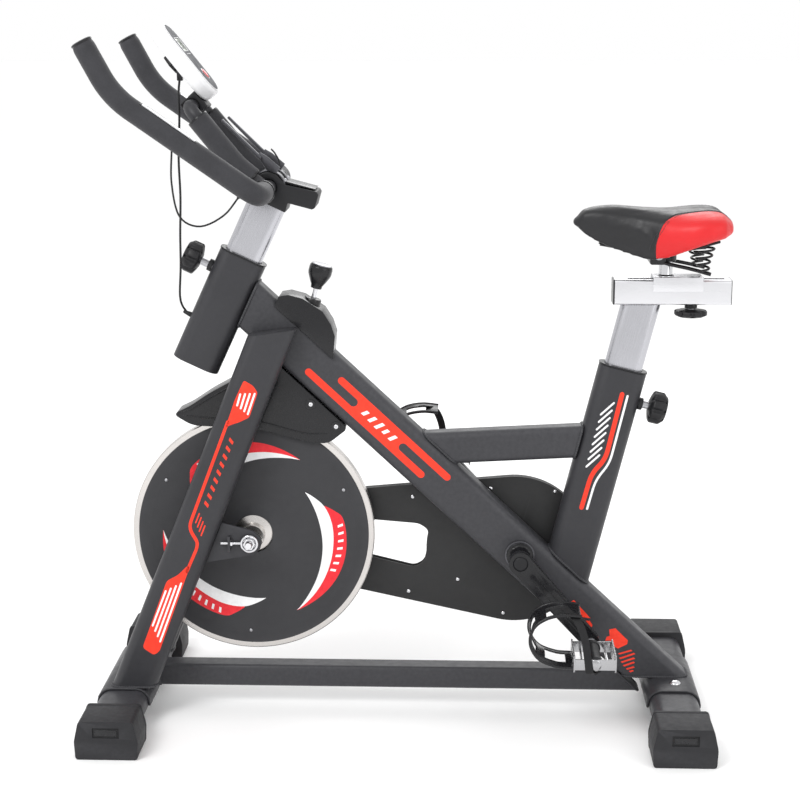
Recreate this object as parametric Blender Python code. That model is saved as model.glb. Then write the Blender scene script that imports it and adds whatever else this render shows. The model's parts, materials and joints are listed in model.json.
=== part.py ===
"""Indoor spin bike, one named object per piece.

Metres, +Z up, +X to the rear (saddle), -Y to the rider's left (near side).
The origin is on the floor under the middle of the bike.
"""
import math

import bmesh
import bpy
from mathutils import Matrix, Vector

# ---------------------------------------------------------------- dimensions
GAP = 0.0003                      # clearance between pieces that touch

WHEEL = Vector((-0.256, 0.0, 0.300))
WHEEL_R = 0.201
CRANK = Vector((0.185, 0.0, 0.272))
CRANK_LEN = 0.175
CRANK_ANGLE = -48.5               # left crank, degrees above +X

DOWN_TUBE_DIR = Vector((0.7303, 0.0, -0.6831))
DOWN_TUBE_TOP = Vector((-0.2559, 0.0, 0.6849))
DOWN_TUBE_DEPTH = 0.076
DOWN_TUBE_WIDTH = 0.050

HEAD_BASE = Vector((-0.3455, 0.0, 0.5855))
HEAD_AXIS = Vector((0.4222, 0.0, 0.9065))
HEAD_LEN = 0.193
HEAD_DEPTH = 0.078
HEAD_WIDTH = 0.048

SEAT_BASE = Vector((0.2666, 0.0, 0.2487))
SEAT_AXIS = Vector((0.2379, 0.0, 0.9713))
SEAT_LEN = 0.3425
SEAT_DEPTH = 0.078
SEAT_WIDTH = 0.048

POST_DEPTH = 0.062
POST_WIDTH = 0.032

FRONT_X = -0.465
REAR_X = 0.438
STAB_WIDTH = 0.080
STAB_LOW = 0.014
STAB_HIGH = 0.056
HALF_TRACK = 0.250

LEG_TOP = Vector((-0.214, 0.0462, 0.647))
LEG_FOOT = Vector((-0.449, 0.080, 0.0606))
LEG_DEPTH = 0.069
LEG_WIDTH = 0.040

BRAKE_DIR = Vector((0.2554, 0.0, 0.9668))
BELT_Y = 0.0355
BELT_HALF = 0.005
GUARD_FRONT = Vector((-0.246, 0.0, 0.290))
GUARD_REAR = Vector((0.177, 0.0, 0.264))
FRONT_PULLEY_R = 0.034
REAR_PULLEY_R = 0.096

BAR_R = 0.0125
GRIP_R = 0.0170
BAR = Vector((-0.218, 0.0, 0.8745))
POST_TOP = 0.2905                  # along the head axis from its base

X_AXIS = Vector((1.0, 0.0, 0.0))
Y_AXIS = Vector((0.0, 1.0, 0.0))
Z_AXIS = Vector((0.0, 0.0, 1.0))


# ------------------------------------------------------------------- helpers
def clear_scene():
    for obj in list(bpy.data.objects):
        bpy.data.objects.remove(obj)


def material(name, colour, roughness, metallic):
    mat = bpy.data.materials.new(name)
    mat.use_nodes = True
    shader = mat.node_tree.nodes["Principled BSDF"]
    shader.inputs["Base Color"].default_value = (*colour, 1.0)
    shader.inputs["Roughness"].default_value = roughness
    shader.inputs["Metallic"].default_value = metallic
    return mat


PAINT = ((0.045, 0.047, 0.052), 0.45, 0.3)
STEEL = ((0.62, 0.63, 0.65), 0.28, 1.0)
CHROME = ((0.80, 0.81, 0.83), 0.12, 1.0)
BLACK = ((0.020, 0.020, 0.022), 0.55, 0.0)
RUBBER = ((0.025, 0.025, 0.027), 0.80, 0.0)
FOAM = ((0.030, 0.030, 0.034), 0.90, 0.0)
WHITE = ((0.80, 0.80, 0.80), 0.40, 0.0)
NAVY = ((0.010, 0.014, 0.030), 0.25, 0.0)
RED = ((0.62, 0.02, 0.02), 0.35, 0.0)


def add_object(name, mesh, look, smooth=True):
    obj = bpy.data.objects.new(name, mesh)
    bpy.context.collection.objects.link(obj)
    mesh.materials.append(material(name, *look))
    if smooth:
        smooth_by_angle(mesh, 32.0)
    return obj


def smooth_by_angle(mesh, degrees):
    bm = bmesh.new()
    bm.from_mesh(mesh)
    limit = math.radians(degrees)
    for face in bm.faces:
        face.smooth = True
    for edge in bm.edges:
        edge.smooth = len(edge.link_faces) == 2 and edge.calc_face_angle() < limit
    bm.to_mesh(mesh)
    bm.free()


def mesh_from(name, verts, faces):
    mesh = bpy.data.meshes.new(name)
    mesh.from_pydata([tuple(v) for v in verts], [], faces)
    bm = bmesh.new()
    bm.from_mesh(mesh)
    bmesh.ops.recalc_face_normals(bm, faces=bm.faces)
    bm.to_mesh(mesh)
    bm.free()
    return mesh


def move_origin(obj, origin):
    """Puts the object's origin at a world point without moving its shape."""
    shift = Vector(origin) - obj.location
    obj.data.transform(Matrix.Translation(-shift))
    obj.location = Vector(origin)
    return obj


def cutter(name, mesh):
    obj = bpy.data.objects.new(name, mesh)
    bpy.context.collection.objects.link(obj)
    obj.hide_render = True
    obj.display_type = "WIRE"
    return obj


def combine(obj, tool, operation="DIFFERENCE"):
    mod = obj.modifiers.new(tool.name, "BOOLEAN")
    mod.operation = operation
    mod.solver = "EXACT"
    mod.object = tool
    return obj


def oval(depth, width, corner, steps=4):
    """Rounded rectangle, counter-clockwise, as (depth, width) pairs."""
    points = []
    for quarter in range(4):
        sx = (1, -1, -1, 1)[quarter]
        sy = (1, 1, -1, -1)[quarter]
        cx = sx * (depth / 2 - corner)
        cy = sy * (width / 2 - corner)
        for step in range(steps + 1):
            a = math.radians(90 * quarter + 90 * step / steps)
            points.append((cx + corner * math.cos(a), cy + corner * math.sin(a)))
    return points


def circle(radius, count):
    steps = [2 * math.pi * i / count for i in range(count)]
    return [(radius * math.cos(a), radius * math.sin(a)) for a in steps]


def cross_axes(direction):
    side = direction.cross(Y_AXIS)
    if side.length < 0.01:
        side = X_AXIS.copy()
    side.normalize()
    return side, side.cross(direction).normalized()


def loop_on_plane(outline, start, direction, normal, at):
    """The outline, swept along the direction, where it meets a plane."""
    side, up = cross_axes(direction)
    loop = []
    for a, b in outline:
        base = start + side * a + up * b
        travel = (at - base).dot(normal) / direction.dot(normal)
        loop.append(base + direction * travel)
    return loop


def bridge(first, second, count, closed=True):
    span = count if closed else count - 1
    return [
        (first + i, first + (i + 1) % count, second + (i + 1) % count, second + i)
        for i in range(span)
    ]


def sweep_mesh(name, outline, start, end, cut0=None, cut1=None, inner=None, cap=0.0):
    """Straight bar between two points, its ends cut by planes.

    An inner outline leaves it hollow; cap closes the start by that thickness.
    """
    direction = (end - start).normalized()
    cut0 = cut0 or direction
    cut1 = cut1 or direction
    count = len(outline)
    verts = loop_on_plane(outline, start, direction, cut0, start)
    verts += loop_on_plane(outline, start, direction, cut1, end)
    faces = bridge(0, count, count)
    if inner is None:
        faces.append(tuple(range(count)))
        faces.append(tuple(range(count, 2 * count)))
        return mesh_from(name, verts, faces)
    verts += loop_on_plane(inner, start, direction, cut0, start + direction * cap)
    verts += loop_on_plane(inner, start, direction, cut1, end)
    faces += bridge(2 * count, 3 * count, count)
    faces += bridge(count, 3 * count, count)
    if cap:
        faces.append(tuple(range(count)))
        faces.append(tuple(range(2 * count, 3 * count)))
    else:
        faces += bridge(0, 2 * count, count)
    return mesh_from(name, verts, faces)


def tube(name, start, end, size, look, wall=0.002, cut0=None, cut1=None, cap=0.0):
    """Hollow rounded-rectangle tube; size is (depth, width, corner)."""
    depth, width, corner = size
    outer = oval(depth, width, corner)
    inner = oval(depth - 2 * wall, width - 2 * wall, max(corner - wall, 0.001))
    mesh = sweep_mesh(name, outer, start, end, cut0, cut1, inner, cap)
    return add_object(name, mesh, look)


def lathe_mesh(name, profile, segments, ring=False):
    """Revolves (radius, height) pairs about +Z; ring closes the profile."""
    verts = []
    index = []
    for radius, height in profile:
        if radius < 1e-7:
            index.append([len(verts)] * segments)
            verts.append((0.0, 0.0, height))
            continue
        index.append(list(range(len(verts), len(verts) + segments)))
        verts += [(x, y, height) for x, y in circle(radius, segments)]
    faces = []
    rows = len(profile)
    for row in range(rows if ring else rows - 1):
        low = index[row]
        high = index[(row + 1) % rows]
        for i in range(segments):
            j = (i + 1) % segments
            corners = [low[i], low[j], high[j], high[i]]
            faces.append(tuple(dict.fromkeys(corners)))
    return mesh_from(name, verts, faces)


def turn_to(obj, origin, axis):
    """Places an object built about its own +Z on an axis in the world."""
    obj.rotation_mode = "QUATERNION"
    obj.rotation_quaternion = Z_AXIS.rotation_difference(axis.normalized())
    obj.location = Vector(origin)
    return obj


def lathe(name, profile, segments, origin, axis, look, ring=False):
    obj = add_object(name, lathe_mesh(name, profile, segments, ring), look)
    return turn_to(obj, origin, axis)


def drill(obj, name, origin, axis, radius, low, high, segments=32):
    """Cuts a round hole along an axis, from low to high."""
    profile = [(0, low), (radius, low), (radius, high), (0, high)]
    tool = cutter(name, lathe_mesh(name, profile, segments))
    turn_to(tool, origin, axis)
    return combine(obj, tool)


def prism_mesh(name, outline, y0, y1):
    """Extrudes an (x, z) outline along Y."""
    count = len(outline)
    verts = [(x, y0, z) for x, z in outline]
    verts += [(x, y1, z) for x, z in outline]
    faces = bridge(0, count, count)
    faces.append(tuple(range(count)))
    faces.append(tuple(range(count, 2 * count)))
    return mesh_from(name, verts, faces)


def prism(name, outline, y0, y1, look):
    return add_object(name, prism_mesh(name, outline, y0, y1), look)


def box_mesh(name, low, high):
    outline = [(low[0], low[2]), (high[0], low[2]), (high[0], high[2]), (low[0], high[2])]
    return prism_mesh(name, outline, low[1], high[1])


def bevel(obj, width, segments=2, angle=35.0):
    mod = obj.modifiers.new("edge", "BEVEL")
    mod.width = width
    mod.segments = segments
    mod.limit_method = "ANGLE"
    mod.angle_limit = math.radians(angle)
    return obj


def arc(cx, cz, radius, start, end, count):
    points = []
    for i in range(count + 1):
        a = math.radians(start + (end - start) * i / count)
        points.append((cx + radius * math.cos(a), cz + radius * math.sin(a)))
    return points


def rounded_path(points, radius, steps=3):
    """Replaces each inner corner of a polyline with an arc-like curve."""
    path = [points[0]]
    for before, corner, after in zip(points, points[1:], points[2:]):
        start = corner + (before - corner).normalized() * radius
        end = corner + (after - corner).normalized() * radius
        for i in range(steps + 1):
            t = i / steps
            path.append(start * (1 - t) ** 2 + corner * 2 * t * (1 - t) + end * t * t)
    path.append(points[-1])
    return path


def pipe_mesh(name, path, radius, segments, inner=None):
    """Round pipe along a path; inner leaves it hollow with open ends."""
    rings = [radius] if inner is None else [radius, inner]
    verts = []
    normal = None
    frames = []
    for i, point in enumerate(path):
        back = path[max(i - 1, 0)]
        ahead = path[min(i + 1, len(path) - 1)]
        direction = (ahead - back).normalized()
        if normal is None:
            normal, _ = cross_axes(direction)
        normal = (normal - direction * normal.dot(direction)).normalized()
        frames.append((point, normal.copy(), direction.cross(normal)))
    for size in rings:
        for point, side, up in frames:
            verts += [point + side * x + up * y for x, y in circle(size, segments)]
    count = len(path)
    faces = []
    for layer in range(len(rings)):
        for i in range(count - 1):
            first = (layer * count + i) * segments
            faces += bridge(first, first + segments, segments)
    last = (count - 1) * segments
    if inner is None:
        faces.append(tuple(range(segments)))
        faces.append(tuple(range(last, last + segments)))
    else:
        faces += bridge(0, count * segments, segments)
        faces += bridge(last, last + count * segments, segments)
    return mesh_from(name, verts, faces)


def smooth_route(points, spacing):
    """Catmull-Rom curve through the route points."""
    pts = [points[0] * 2 - points[1]] + list(points) + [points[-1] * 2 - points[-2]]
    out = []
    for i in range(1, len(pts) - 2):
        a, b, c, d = pts[i - 1], pts[i], pts[i + 1], pts[i + 2]
        steps = max(2, round((c - b).length / spacing))
        for s in range(steps):
            t = s / steps
            part = b * 2 + (c - a) * t + (a * 2 - b * 5 + c * 4 - d) * t ** 2
            out.append((part + (b * 3 - a - c * 3 + d) * t ** 3) * 0.5)
    out.append(points[-1])
    return out


def cord(name, route, radius, spacing, look, resolution=2):
    curve = bpy.data.curves.new(name, "CURVE")
    curve.dimensions = "3D"
    spline = curve.splines.new("POLY")
    path = smooth_route(route, spacing)
    spline.points.add(len(path) - 1)
    for point, place in zip(spline.points, path):
        point.co = (*place, 1.0)
    curve.bevel_depth = radius
    curve.bevel_resolution = resolution
    curve.use_fill_caps = True
    obj = bpy.data.objects.new(name, curve)
    bpy.context.collection.objects.link(obj)
    curve.materials.append(material(name, *look))
    return obj


def side_of(point, sign):
    return Vector((point.x, sign * abs(point.y), point.z))


SIDES = (("left", -1), ("right", 1))


# --------------------------------------------------------------------- frame
def build_stabiliser(name, x):
    low = Vector((x, -0.235, (STAB_LOW + STAB_HIGH) / 2))
    high = Vector((x, 0.235, low.z))
    size = (STAB_WIDTH, STAB_HIGH - STAB_LOW, 0.020)
    return tube(name, low, high, size, PAINT, wall=0.0025)


def build_foot(name, x, sign):
    """Moulded end cap over the end of a stabiliser, with a tread sole."""
    outline = [(-0.037, 0.0), (0.037, 0.0), (0.050, 0.014), (0.0505, 0.030)]
    outline += [(0.046, 0.060), (0.040, 0.0635), (-0.040, 0.0635), (-0.046, 0.060)]
    outline += [(-0.0505, 0.030), (-0.050, 0.014)]
    inner = sign * 0.176
    outer = sign * HALF_TRACK
    y0, y1 = min(inner, outer), max(inner, outer)
    foot = prism(name, [(x + a, z) for a, z in outline], y0, y1, RUBBER)
    bevel(foot, 0.004, 2, 60.0)
    deep = sign * 0.2353
    shape = oval(STAB_WIDTH + 2 * GAP, STAB_HIGH - STAB_LOW + 2 * GAP, 0.020 + GAP)
    mid = (STAB_LOW + STAB_HIGH) / 2
    start = Vector((x, sign * 0.165, mid))
    end = Vector((x, deep, mid))
    combine(foot, cutter(name + "_socket", sweep_mesh(name + "_socket", shape, start, end)))
    face = sorted((sign * (HALF_TRACK - 0.0025), sign * (HALF_TRACK + 0.01)))
    low = (x - 0.018, face[0], 0.020)
    high = (x + 0.018, face[1], 0.036)
    combine(foot, cutter(name + "_recess", box_mesh(name + "_recess", low, high)))
    return foot


def build_cradle(name, x, half_len):
    """Bent saddle plate bolted over a stabiliser, with its bolt heads."""
    half = STAB_WIDTH / 2 + GAP
    top = STAB_HIGH + GAP
    wall = 0.004
    bend = 0.020 + GAP
    reach = half - bend
    inside = [(x + half, 0.030)] + arc(x + reach, top - bend, bend, 0, 90, 4)
    inside += arc(x - reach, top - bend, bend, 90, 180, 4) + [(x - half, 0.030)]
    bend += wall
    outside = [(x - half - wall, 0.030)] + arc(x - reach, top + wall - bend, bend, 180, 90, 4)
    outside += arc(x + reach, top + wall - bend, bend, 90, 0, 4) + [(x + half + wall, 0.030)]
    return prism(name, inside + outside, -half_len, half_len, PAINT)


def build_down_tube():
    size = (DOWN_TUBE_DEPTH, DOWN_TUBE_WIDTH, 0.014)
    end = DOWN_TUBE_TOP + DOWN_TUBE_DIR * ((DOWN_TUBE_TOP.z - 0.0606) / 0.6831)
    head_side = Vector((HEAD_AXIS.z, 0.0, -HEAD_AXIS.x))
    main = tube("main_tube", DOWN_TUBE_TOP, end, size, PAINT, 0.003, head_side, Z_AXIS)
    drill(main, "bb_hole", CRANK, Y_AXIS, 0.0224, -0.05, 0.05, 32)
    drill(main, "brake_hole", WHEEL, BRAKE_DIR, 0.0126, 0.25, 0.42, 16)
    return main


def build_head_tube():
    size = (HEAD_DEPTH, HEAD_WIDTH, 0.020)
    top = HEAD_BASE + HEAD_AXIS * HEAD_LEN
    wall = (HEAD_DEPTH - POST_DEPTH) / 2 - GAP
    outer = oval(*size)
    inner = oval(POST_DEPTH + 2 * GAP, POST_WIDTH + 2 * GAP, 0.0153)
    mesh = sweep_mesh("head_tube", outer, HEAD_BASE, top, None, None, inner)
    head = add_object("head_tube", mesh, PAINT)
    place = HEAD_BASE + HEAD_AXIS * 0.158
    front = Vector((-HEAD_AXIS.z, 0.0, HEAD_AXIS.x))
    drill(head, "head_screw_hole", place, front, 0.0063, 0.02, 0.06, 24)
    drill(head, "cable_hole", HEAD_BASE + HEAD_AXIS * 0.070, front, 0.0050, 0.02, 0.06, 16)
    assert wall > 0.004
    return head


def build_seat_tube():
    size = (SEAT_DEPTH, SEAT_WIDTH, 0.020)
    top = SEAT_BASE + SEAT_AXIS * SEAT_LEN
    normal = Vector((0.6831, 0.0, 0.7303))
    inner = oval(POST_DEPTH + 2 * GAP, POST_WIDTH + 2 * GAP, 0.0153)
    mesh = sweep_mesh("seat_tube", oval(*size), SEAT_BASE, top, normal, None, inner)
    seat = add_object("seat_tube", mesh, PAINT)
    rear = Vector((SEAT_AXIS.z, 0.0, -SEAT_AXIS.x))
    drill(seat, "seat_screw_hole", SEAT_BASE + SEAT_AXIS * 0.292, rear, 0.0063, 0.02, 0.06, 24)
    return seat


def build_top_tube():
    start = Vector((0.0532, 0.0, 0.4483))
    end = Vector((0.2780, 0.0, 0.4603))
    normal = Vector((0.6831, 0.0, 0.7303))
    rear = Vector((SEAT_AXIS.z, 0.0, -SEAT_AXIS.x))
    return tube("top_tube", start, end, (0.054, 0.040, 0.012), PAINT, 0.002, normal, rear)


def build_bottom_tube():
    start = Vector((FRONT_X + 0.0446, 0.0, 0.051))
    end = Vector((0.3656, 0.0, 0.051))
    under = Vector((0.6831, 0.0, 0.7303))
    return tube("bottom_tube", start, end, (0.038, 0.040, 0.007), PAINT, cut1=under)


def build_leg(side, sign):
    top = side_of(LEG_TOP, sign)
    foot = side_of(LEG_FOOT, sign)
    size = (LEG_DEPTH, LEG_WIDTH, 0.016)
    slope = Vector((-0.14, 0.0, 0.99)).normalized()
    return tube("fork_leg_" + side, top, foot, size, PAINT, 0.0025, slope, Z_AXIS, 0.004)


def build_axle_plate(side, sign):
    """Slotted drop-out plate welded behind the leg."""
    outline = [(-0.3010, 0.334), (-0.2500, 0.320), (-0.2390, 0.3095), (-0.2360, 0.300)]
    outline += [(-0.2390, 0.2905), (-0.2500, 0.280), (-0.3280, 0.266)]
    y0 = 0.060 * sign
    y1 = 0.066 * sign
    plate = prism("axle_plate_" + side, outline, min(y0, y1), max(y0, y1), PAINT)
    return drill(plate, "axle_hole_" + side, WHEEL, Y_AXIS, 0.0063, -0.08, 0.08, 24)


def build_flywheel_axle():
    """Fixed axle with a hexagon nut and washer outside each drop-out."""
    half = [(0.006, 0.0), (0.006, 0.0663), (0.0115, 0.0663), (0.0115, 0.0680)]
    half += [(0.0090, 0.0680), (0.0090, 0.0760), (0.0060, 0.0760), (0.0055, 0.0840), (0.0, 0.0840)]
    low = [(r, -h) for r, h in reversed(half)]
    return lathe("flywheel_axle", low + half[1:], 16, WHEEL, Y_AXIS, STEEL)


def build_bb_shell():
    profile = [(0.0088, -0.0385), (0.0185, -0.0385), (0.0200, -0.0370), (0.0220, -0.0370)]
    profile += [(0.0220, 0.0275), (0.0088, 0.0275)]
    return lathe("bb_shell", profile, 32, CRANK, Y_AXIS, BLACK, ring=True)


def build_fender():
    """Curved guard over the top of the flywheel, open below."""
    outline = [(-0.383, 0.505), (-0.351, 0.486), (-0.316, 0.4845), (-0.240, 0.480)]
    outline += [(-0.158, 0.459), (-0.129, 0.457), (-0.100, 0.480), (-0.101, 0.4870)]
    outline += [(-0.219, 0.5975), (-0.238, 0.590), (-0.286, 0.560), (-0.321, 0.541)]
    outline += [(-0.355, 0.518)]
    guard = prism("fender", outline, -0.0235, 0.0235, BLACK)
    hollow = [(-0.3685, 0.4800), (-0.2400, 0.4300), (-0.1000, 0.4300), (-0.1160, 0.4950)]
    hollow += [(-0.222, 0.5925), (-0.237, 0.5862), (-0.2845, 0.5565), (-0.3195, 0.5375)]
    hollow += [(-0.352, 0.5155), (-0.3715, 0.5040)]
    combine(guard, cutter("fender_hollow", prism_mesh("fender_hollow", hollow, -0.0205, 0.0205)))
    return drill(guard, "fender_rod_hole", WHEEL, BRAKE_DIR, 0.0070, 0.25, 0.40, 24)


def build_shroud():
    """Moulded cover around the foot of the brake knob."""
    outline = [(-0.212, 0.684), (-0.205, 0.7005), (-0.190, 0.703), (-0.167, 0.697)]
    outline += [(-0.135, 0.676), (-0.122, 0.655), (-0.116, 0.636), (-0.119, 0.598)]
    shroud = prism("brake_shroud", outline, -0.0285, 0.0285, BLACK)
    inner = [(-0.215, 0.680), (-0.203, 0.6978), (-0.190, 0.7000), (-0.168, 0.6942)]
    inner += [(-0.1372, 0.6740), (-0.1247, 0.6540), (-0.1190, 0.6355), (-0.1215, 0.5850)]
    combine(shroud, cutter("shroud_hollow", prism_mesh("shroud_hollow", inner, -0.0255, 0.0255)))
    shape = oval(DOWN_TUBE_DEPTH + 2 * GAP, DOWN_TUBE_WIDTH + 2 * GAP, 0.010)
    end = DOWN_TUBE_TOP + DOWN_TUBE_DIR * 0.3
    seat = sweep_mesh("shroud_seat", shape, DOWN_TUBE_TOP - DOWN_TUBE_DIR * 0.05, end)
    combine(shroud, cutter("shroud_seat", seat))
    return drill(shroud, "shroud_hole", WHEEL, BRAKE_DIR, 0.0140, 0.30, 0.42, 20)


def build_brake_collar():
    profile = [(0.0045, 0.345), (0.0120, 0.345), (0.0120, 0.3845), (0.0135, 0.3850)]
    profile += [(0.0135, 0.4060), (0.0120, 0.4075), (0.0045, 0.4075)]
    return lathe("brake_collar", profile, 16, WHEEL, BRAKE_DIR, BLACK, ring=True)


def guard_outline(front_r, rear_r, steps=14, front_at=WHEEL, rear_at=CRANK):
    """Belt-shaped outline around the two pulleys."""
    dx = rear_at.x - front_at.x
    dz = rear_at.z - front_at.z
    lean = math.degrees(math.atan2(dz, dx))
    spread = math.degrees(math.acos((front_r - rear_r) / math.hypot(dx, dz)))
    front = arc(front_at.x, front_at.z, front_r, lean + spread, lean + 360 - spread, steps)
    rear = arc(rear_at.x, rear_at.z, rear_r, lean - spread, lean + spread, steps * 2)
    return front + rear


def build_guard(name, y0, y1, base0, base1):
    """One half of the belt cover: a shallow tray with a window through it."""
    ends = {"front_at": GUARD_FRONT, "rear_at": GUARD_REAR}
    guard = prism(name, guard_outline(0.062, 0.126, **ends), y0, y1, BLACK)
    inner = guard_outline(0.0595, 0.1235, **ends)
    combine(guard, cutter(name + "_tray", prism_mesh(name + "_tray", inner, base0, base1)))
    window = [(-0.175, 0.2760), (0.008, 0.232), (0.022, 0.240), (0.030, 0.252)]
    window += [(0.034, 0.280), (0.030, 0.296), (0.014, 0.3050), (-0.172, 0.3230)]
    combine(guard, cutter(name + "_window", prism_mesh(name + "_window", window, y0 - 0.01, y1 + 0.01)))
    drill(guard, name + "_crank_hole", CRANK, Y_AXIS, 0.0180, 0.01, 0.07, 20)
    drill(guard, name + "_axle_hole", WHEEL, Y_AXIS, 0.0170, 0.01, 0.07, 20)
    return guard


def build_belt():
    outer = guard_outline(FRONT_PULLEY_R + 0.0030, REAR_PULLEY_R + 0.0030, 12)
    inner = guard_outline(FRONT_PULLEY_R + 0.0008, REAR_PULLEY_R + 0.0008, 12)
    count = len(outer)
    verts = []
    for outline in (outer, inner):
        for y in (BELT_Y - BELT_HALF, BELT_Y + BELT_HALF):
            verts += [(x, y, z) for x, z in outline]
    faces = bridge(0, count, count) + bridge(2 * count, 3 * count, count)
    faces += bridge(0, 2 * count, count) + bridge(count, 3 * count, count)
    return add_object("drive_belt", mesh_from("drive_belt", verts, faces), RUBBER)


def build_frame():
    build_down_tube()
    build_head_tube()
    build_seat_tube()
    build_top_tube()
    build_bottom_tube()
    build_stabiliser("front_stabilizer", FRONT_X)
    build_stabiliser("rear_stabilizer", REAR_X)
    build_cradle("front_cradle", FRONT_X, 0.104)
    build_cradle("rear_cradle", REAR_X, 0.085)
    for side, sign in SIDES:
        build_leg(side, sign)
        build_axle_plate(side, sign)
        build_foot("front_foot_" + side, FRONT_X, sign)
        build_foot("rear_foot_" + side, REAR_X, sign)
    build_bb_shell()
    build_flywheel_axle()
    build_fender()
    build_shroud()
    build_brake_collar()
    build_belt()
    build_guard("belt_guard_inner", 0.0280, 0.0352, 0.0300, 0.040)
    build_guard("belt_guard_outer", 0.0355, 0.0435, 0.030, 0.0415)


# ------------------------------------------------------------------ flywheel
def build_flywheel():
    rim = [(0.0500, -0.0060), (0.1780, -0.0060), (0.1800, -0.0105), (0.2010, -0.0105)]
    rim += [(0.2010, 0.0105), (0.1800, 0.0105), (0.1780, 0.0060), (0.0500, 0.0060)]
    rim += [(0.0230, 0.0150), (0.0230, 0.0275), (0.0063, 0.0275), (0.0063, -0.0320)]
    rim += [(0.0200, -0.0320), (0.0200, -0.0150)]
    lathe("flywheel", rim, 48, WHEEL, Y_AXIS, STEEL, ring=True)
    for side, sign in SIDES:
        cover = [(0.0320, 0.0155), (0.1720, 0.0155), (0.1915, 0.0125), (0.1915, 0.0108)]
        cover += [(0.0550, 0.0108), (0.0320, 0.0135)]
        profile = [(r, sign * h) for r, h in cover]
        name = "flywheel_cover_" + side
        lathe(name, profile, 48, WHEEL, Y_AXIS, BLACK, ring=True)
    low = BELT_Y - 0.0052
    high = BELT_Y + 0.0055
    pulley = [(0.0063, 0.0278), (0.0140, 0.0278), (0.0140, low), (FRONT_PULLEY_R, low)]
    pulley += [(FRONT_PULLEY_R, high), (0.0150, high), (0.0150, 0.0480), (0.0063, 0.0480)]
    lathe("flywheel_pulley", pulley, 24, WHEEL, Y_AXIS, STEEL, ring=True)


# -------------------------------------------------------------------- cranks
def crank_end(sign):
    a = math.radians(CRANK_ANGLE)
    reach = Vector((math.cos(a), 0.0, math.sin(a))) * CRANK_LEN
    return CRANK - reach * sign


def build_crank_arm(side, sign):
    """Forged arm with its pedal spindle."""
    end = crank_end(sign)
    lean = math.degrees(math.atan2(end.z - CRANK.z, end.x - CRANK.x))
    outline = arc(CRANK.x, CRANK.z, 0.0190, lean + 80, lean + 280, 10)
    outline += arc(end.x, end.z, 0.0140, lean - 90, lean + 90, 8)
    y0, y1 = sorted((0.0640 * sign, 0.0780 * sign))
    name = "crank_" + side
    arm = prism(name, outline, y0, y1, BLACK)
    profile = [(0, 0.070), (0.0070, 0.070), (0.0070, 0.0960), (0.0055, 0.0970)]
    profile += [(0.0055, 0.182), (0, 0.182)]
    spindle = cutter(name + "_spindle", lathe_mesh(name + "_spindle", profile, 24))
    turn_to(spindle, (end.x, 0, end.z), Y_AXIS * sign)
    combine(arm, spindle, "UNION")
    drill(arm, name + "_bore", CRANK, Y_AXIS * sign, 0.0088, 0.05, 0.0745, 24)
    return move_origin(arm, CRANK)


def build_crank_set():
    profile = [(0, -0.0740), (0.0080, -0.0740), (0.0085, -0.0730), (0.0085, 0.0730)]
    profile += [(0.0080, 0.0740), (0, 0.0740)]
    lathe("crank_spindle", profile, 24, CRANK, Y_AXIS, STEEL)
    low = BELT_Y - 0.0050
    high = BELT_Y + 0.0050
    face = [(0.0088, low), (REAR_PULLEY_R, low), (REAR_PULLEY_R, high)]
    face += [(0.0900, high), (0.0860, high - 0.0035), (0.0350, high - 0.0035)]
    face += [(0.0300, high + 0.0008), (0.0088, high + 0.0008)]
    lathe("crank_pulley", face, 36, CRANK, Y_AXIS, BLACK, ring=True)
    for side, sign in SIDES:
        build_crank_arm(side, sign)


def tooth_bar(width, teeth=6):
    """Outline of one cage plate toothed on both edges, as (y, z) pairs."""
    points = []
    for edge in (-1, 1):
        for i in range(teeth + 1):
            y = edge * (width * i / teeth - width / 2)
            points.append((y, edge * 0.0105))
            if i < teeth:
                points.append((y + edge * width / teeth / 2, edge * 0.0140))
    return points


def build_pedal(side, sign):
    """Cage pedal: barrel, two toothed plates and two end plates."""
    name = "pedal_" + side
    mid = 0.1395
    profile = [(0.0058, -0.0405), (0.0130, -0.0405), (0.0130, 0.0405), (0.0058, 0.0405)]
    pedal = add_object(name, lathe_mesh(name, profile, 16, True), STEEL)
    plates = []
    for x in (-0.0340, 0.0310):
        outline = [(y, z) for y, z in tooth_bar(0.084)]
        verts = [(x, y, z) for y, z in outline] + [(x + 0.003, y, z) for y, z in outline]
        count = len(outline)
        faces = bridge(0, count, count)
        faces += [tuple(range(count)), tuple(range(count, 2 * count))]
        plates.append(mesh_from(name + "_plate", verts, faces))
    for y in (-0.0400, 0.0370):
        plates.append(box_mesh(name + "_end", (-0.033, y, -0.009), (0.033, y + 0.003, 0.009)))
    end = crank_end(sign)
    pedal.data.transform(Matrix.Rotation(math.radians(-90), 4, "X"))
    smooth_by_angle(pedal.data, 32.0)
    pedal.location = (end.x, sign * mid, end.z)
    for i, mesh in enumerate(plates):
        tool = cutter(f"{name}_part_{i}", mesh)
        tool.location = pedal.location
        combine(pedal, tool, "UNION")
    hole = [(0, -0.06), (0.0058, -0.06), (0.0058, 0.0415), (0, 0.0415)]
    bore = cutter(name + "_bore", lathe_mesh(name + "_bore", hole, 16))
    bore.data.transform(Matrix.Rotation(math.radians(90 * sign), 4, "X"))
    bore.location = pedal.location
    combine(pedal, bore)
    return pedal


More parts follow.
